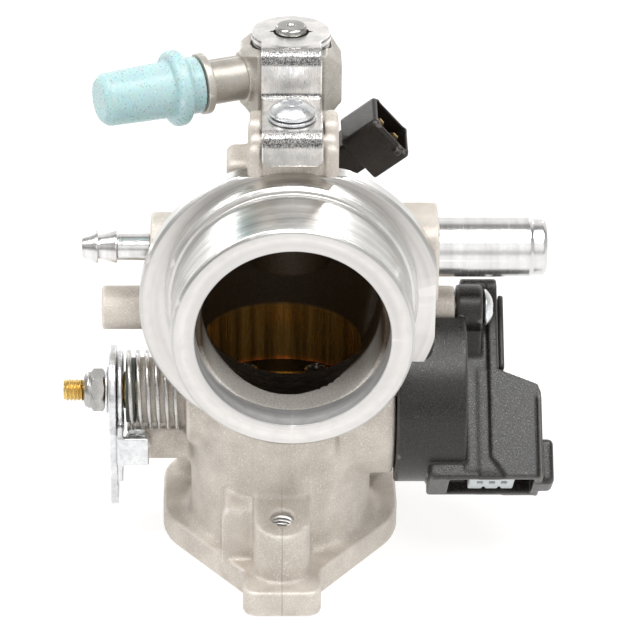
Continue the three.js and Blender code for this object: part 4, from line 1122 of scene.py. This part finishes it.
def make_plug():
    start, mouth = PLUG["start"], PLUG["mouth"]
    s = Solid((-8, -9, -8), (30, 9, 18), 0.3)
    up = PLUG_PLACE.to_3x3().inverted() @ Vector((0, 0, 1))
    base = tuple(up * 0.7)
    s.add(s.free_rod(7, base, up, 14.1))
    s.add(s.block(9, start + 1, -3.6, 3.6, -3.2, 4.4, edge=0.6), 1.2)
    section = rounded_box(-5.1, 5.1, -5.9, 5.9, 1.2)
    shell = s.prism("x", section, start, mouth, edge=0.25)
    across = outline_distance(s.grid[1], s.grid[2], section)
    s.add(np.maximum(shell, (across + s.grid[0] - mouth + 1.3) / 1.414), 0.3)
    for z in (-3.9, -1.5, 2.6):
        s.cut(s.block(start - 1, mouth - 2.6, 4.85, 6, z - 0.2, z + 0.2))
    s.cut(s.block(start + 3.2, start + 3.5, 4.85, 6, -5, 5))
    s.add(s.block(start + 3, start + 5.2, -1.1, 1.1, -6.4, -5, edge=0.15))
    s.add(s.block(mouth - 2.6, mouth - 1.2, -6.0, -4.5, -3.6, -2.2, edge=0.3), 0.3)
    s.cut(s.prism("x", rounded_box(-4.2, 4.2, -5.0, 5.0, 1), mouth - 7.5, mouth + 1), 0.3)
    s.piece("injector_plug", PLUG_PLACE, "brown_black", "root", "black_plastic",
            ["injector_overmould"], limit=90000)
    for k, sign in enumerate((-1, 1)):
        blade(f"injector_blade_{k + 1}", (0.4, 1.1), PLUG_PLACE, (21.4, 0, sign * 2.4), (5.6, 0, 0),
              [f"injector_pin_{k + 1}"])


# ---- fuel inlet, dust cap and clamp -----------------------------------
def make_fuel_cup():
    half_x, half_y, bottom, top = 10.6, 8.7, 97, 111.4
    s = Solid((-11.6, -9.8, 91.4), (11.6, 9.8, 112.4), 0.3)
    side = [(-half_x + 2.5, bottom), (half_x - 3, bottom), (half_x, bottom + 2.4), (half_x, top - 3.8),
            (half_x - 3.2, top), (-half_x + 4, top), (-half_x, top - 1.6), (-half_x, bottom + 2.4)]
    plan = [(-half_x, -5.2), (-7, -half_y), (7, -half_y), (half_x, -5.2),
            (half_x, 3), (6, 8.2), (-6, 8.2), (-half_x, 3)]
    shape = np.maximum(s.prism("y", side, -half_y, half_y), s.prism("z", plan, 90, top + 1))
    s.add(-soft_min(-shape, np.full_like(shape, 9), 0.5))
    s.add(s.rod("z", 8, 92.2, bottom + 1, edge=0.4), 1.0)
    heading = math.radians(PIPE["heading"])
    s.add(s.free_rod(5.2, (0, 0, PIPE["z"]), (math.cos(heading), math.sin(heading), 0), 11.4), 1.2)
    s.cut(s.free_rod(2.5, (0, 0, PIPE["z"]), (math.cos(heading), math.sin(heading), 0), 20))
    s.cut(s.rod("z", 6.2, 90, 105.5))
    s.cut(s.rod("z", 8.4, top - 1.9, top + 1))
    s.piece("fuel_cup", UPRIGHT, "fuel", "root", "fuel_alloy",
            ["fuel_inlet_housing"], limit=60000)


def make_fuel_pipe():
    lathe("fuel_pipe", [
        (2.5, 6), (4.7, 6), (4.7, 19.3), (6.4, 19.3), (6.4, 20.9), (3.9, 20.9), (3.9, 34), (4.4, 35),
        (4.4, 36.4), (3.9, 37.4), (3.9, 38.5), (3.1, 39.5), (2.5, 39.5), (2.5, 6),
    ], PIPE_PLACE, "fuel", "root", "fuel_alloy", ["fuel_inlet_housing"], soft=0.3)
    top = CLAMP["top"]
    lathe("cup_plug", [
        (0, 109.8), (8.1, 109.8), (8.1, 111.4), (3.3, 111.4), (3.3, top + 1.0), (2.9, top + 1.4),
        (1.0, top + 1.4), (0.7, top + 1.0), (0, top + 1.0),
    ], UPRIGHT, "steel", "root", "turned_steel", ["fuel_housing_plug"],
        soft=0.15)


def make_cap():
    inside = 4.7
    lathe("cap_shell", [
        (inside, 21.2), (5.95, 21.2), (5.95, 24.3), (7.15, 24.3), (7.95, 25.1), (7.95, 27.0),
        (7.15, 27.8), (5.95, 27.8), (5.5, 41.6), (4.3, 43), (0, 43), (0, 41.7),
        (inside - 0.4, 41.7), (inside, 21.2),
    ], PIPE_PLACE, "cap", "dust_cap", "cap_plastic", ["fuel_dust_cap"], soft=0.45)


def bent_strip():
    """Side outline of the clamp's strip, in (Y, Z) about the injector axis, with round bends."""
    thick, top, ledge = CLAMP["thick"], CLAMP["top"], CLAMP["ledge"]
    riser, front = CLAMP["riser"] - INJECTOR["y"], CLAMP["front"] - INJECTOR["y"]
    outer = CLAMP["bend"]
    inner = outer - thick
    return (
        [(0, top)] + arc(riser + outer, top - outer, outer, 90, 180, 5)
        + arc(riser - 0.9, ledge + 0.9, 0.9, 360, 270, 5)
        + arc(front + outer, ledge - outer, outer, 90, 180, 5)
        + [(front, CLAMP["tab"]), (front + thick, CLAMP["tab"])]
        + arc(front + thick + inner, ledge - thick - inner, inner, 180, 90, 3)
        + arc(riser - 0.9, ledge + 0.9, 0.9 + thick, 270, 360, 5)
        + arc(riser + thick + inner, top - thick - inner, inner, 180, 90, 3)
        + [(0, top - thick)]
    )


def make_clamp():
    half, thick, top = CLAMP["half"], CLAMP["thick"], CLAMP["top"]
    y = CLAMP["front"] - INJECTOR["y"]
    s = Solid((-9.2, y - 0.8, CLAMP["tab"] - 0.8), (9.2, 9.2, top + 0.8), 0.25)
    s.add(s.prism("x", bent_strip(), -half, half, edge=0.2))
    s.add(s.rod("z", 8.4, top - thick, top, edge=0.25), 0.3)
    s.cut(s.rod("z", 3.65, top - 3, top + 1))
    s.cut(s.prism("z", [(-4.7, 0), (-3, -0.8), (3, -0.8), (4.7, 0), (3, 0.8), (-3, 0.8)], top - 3, top + 1))
    s.cut(s.rod("z", 2.7, 95, top - 3, 0, CLAMP_SCREW_Y - INJECTOR["y"]))
    for sign in (-1, 1):
        inside, outside = sorted((sign * (half - 1.6), sign * (half + 1)))
        corner = s.block(inside, outside, y - 1, y + 2, CLAMP["tab"] - 1, CLAMP["tab"] + 1.6)
        s.cut(np.maximum(corner, -s.rod("y", 1.6, y - 2, y + 3, sign * (half - 1.6), CLAMP["tab"] + 1.6)))
    s.piece("clamp_strip", UPRIGHT, "clamp", "root", "zinc_plate",
            ["injector_clamp"], limit=90000)
    place = at(INJECTOR["x"], CLAMP_SCREW_Y)
    seat = CLAMP["ledge"] + 1
    pan_screw("clamp_bolt", 2.4, 4.7, 3, place, 90, seat, "clamp_screw")
    lathe("clamp_ring", ring_profile(2.7, 5, CLAMP["ledge"] + 0.2, CLAMP["ledge"] + 0.8), place,
          "zinc", "root", "zinc_plate", ["clamp_washer"], soft=0.15)


# ---- studio -----------------------------------------------------------
def make_camera():
    """The view from above the inlet, 28 degrees down, with a long lens."""
    e, yaw, roll = (math.radians(a) for a in (28, 1.5, 0.7))
    ahead = Vector((math.sin(yaw) * math.cos(e), math.cos(yaw) * math.cos(e), -math.sin(e)))
    level = Vector((math.cos(yaw), -math.sin(yaw), 0))
    up = level.cross(ahead)
    right = level * math.cos(roll) + up * math.sin(roll)
    up = up * math.cos(roll) - level * math.sin(roll)
    data = bpy.data.cameras.new("camera")
    data.lens, data.sensor_width = 194.3, 36
    camera = bpy.data.objects.new("camera", data)
    bpy.context.scene.collection.objects.link(camera)
    camera.matrix_world = Matrix((right, up, -ahead)).transposed().to_4x4()
    camera.location = Vector((-15.36, -635.8, 394.8)) * MM
    bpy.context.scene.camera = camera


def make_floor():
    """A pale sweep: flat under the part, curving up far behind it."""
    s = Shader("studio_paper", Base_Color=(0.25, 0.25, 0.25, 1), Roughness=0.9,
               Emission_Color=(1, 0.995, 0.985, 1), Emission_Strength=0.82)
    s.link(Normal=s.bump(s.noise(3, detail=2), 0.02, 0.2))
    verts = []
    profile = [(-1.5, 0), (0.9, 0)] + [(0.9 + 0.6 * math.sin(a), 0.6 - 0.6 * math.cos(a))
                                       for a in np.linspace(0.1, math.pi / 2, 12)] + [(1.5, 2.0)]
    for y, z in profile:
        verts += [(-2.5, y, z), (2.5, y, z)]
    faces = [[2 * k, 2 * k + 1, 2 * k + 3, 2 * k + 2] for k in range(len(profile) - 1)]
    mesh = bpy.data.meshes.new("studio_floor")
    mesh.from_pydata(verts, [], faces)
    mesh.shade_smooth()
    mesh.materials.append(s.material)
    floor = bpy.data.objects.new("studio_floor", mesh)
    bpy.context.scene.collection.objects.link(floor)


def softbox(name, place, target, size, power):
    data = bpy.data.lights.new(name, "AREA")
    data.shape, data.size, data.size_y, data.energy = "RECTANGLE", size[0], size[1], power
    light = bpy.data.objects.new(name, data)
    bpy.context.scene.collection.objects.link(light)
    light.location = place
    light.rotation_euler = (Vector(target) - Vector(place)).to_track_quat("-Z", "Y").to_euler()


def make_lights():
    target = (0, 0, 0.06)
    softbox("strip_left", (-0.42, -0.12, 0.75), target, (0.14, 0.5), 3.2)
    softbox("strip_right", (0.30, -0.12, 0.8), target, (0.14, 0.5), 2.8)
    softbox("key", (0.12, -0.5, 0.95), target, (0.36, 0.26), 3.6)
    softbox("rear_left", (-0.47, 1.0, 0.36), target, (0.05, 0.4), 0.8)
    softbox("rear_right", (0.33, 1.0, 0.47), target, (0.05, 0.4), 0.8)
    softbox("front", (0.0, -0.9, 0.5), target, (0.7, 0.4), 0.6)
    make_world()
    bpy.context.scene.view_settings.view_transform = "Standard"


def make_world():
    """A pale room with soft dark bands, which turned metal needs for its contrast."""
    world = bpy.data.worlds.new("studio")
    world.use_nodes = True
    tree = world.node_tree
    ahead = tree.nodes.new("ShaderNodeTexCoord").outputs["Generated"]
    bands = tree.nodes.new("ShaderNodeTexNoise")
    bands.inputs["Scale"].default_value = 1.7
    bands.inputs["Detail"].default_value = 1.0
    tree.links.new(ahead, bands.inputs["Vector"])
    ramp = tree.nodes.new("ShaderNodeValToRGB")
    ramp.color_ramp.elements[0].position, ramp.color_ramp.elements[1].position = 0.36, 0.6
    ramp.color_ramp.elements[0].color = (0.3, 0.29, 0.28, 1)
    ramp.color_ramp.elements[1].color = (1, 1, 1, 1)
    tree.links.new(bands.outputs["Fac"], ramp.inputs["Fac"])
    background = tree.nodes["Background"]
    background.inputs["Strength"].default_value = 0.72
    tree.links.new(ramp.outputs["Color"], background.inputs["Color"])
    bpy.context.scene.world = world


make_camera()
make_floor()
make_lights()
make_casting()
make_inlet()
make_fixing_threads()
make_shaft()
make_valve()
make_lever()
make_shaft_rings()
make_spring()
make_idle_stop()
make_hose_ends()
make_sensor()
make_sensor_screws()
make_injector()
make_plug()
make_fuel_cup()
make_fuel_pipe()
make_cap()
make_clamp()
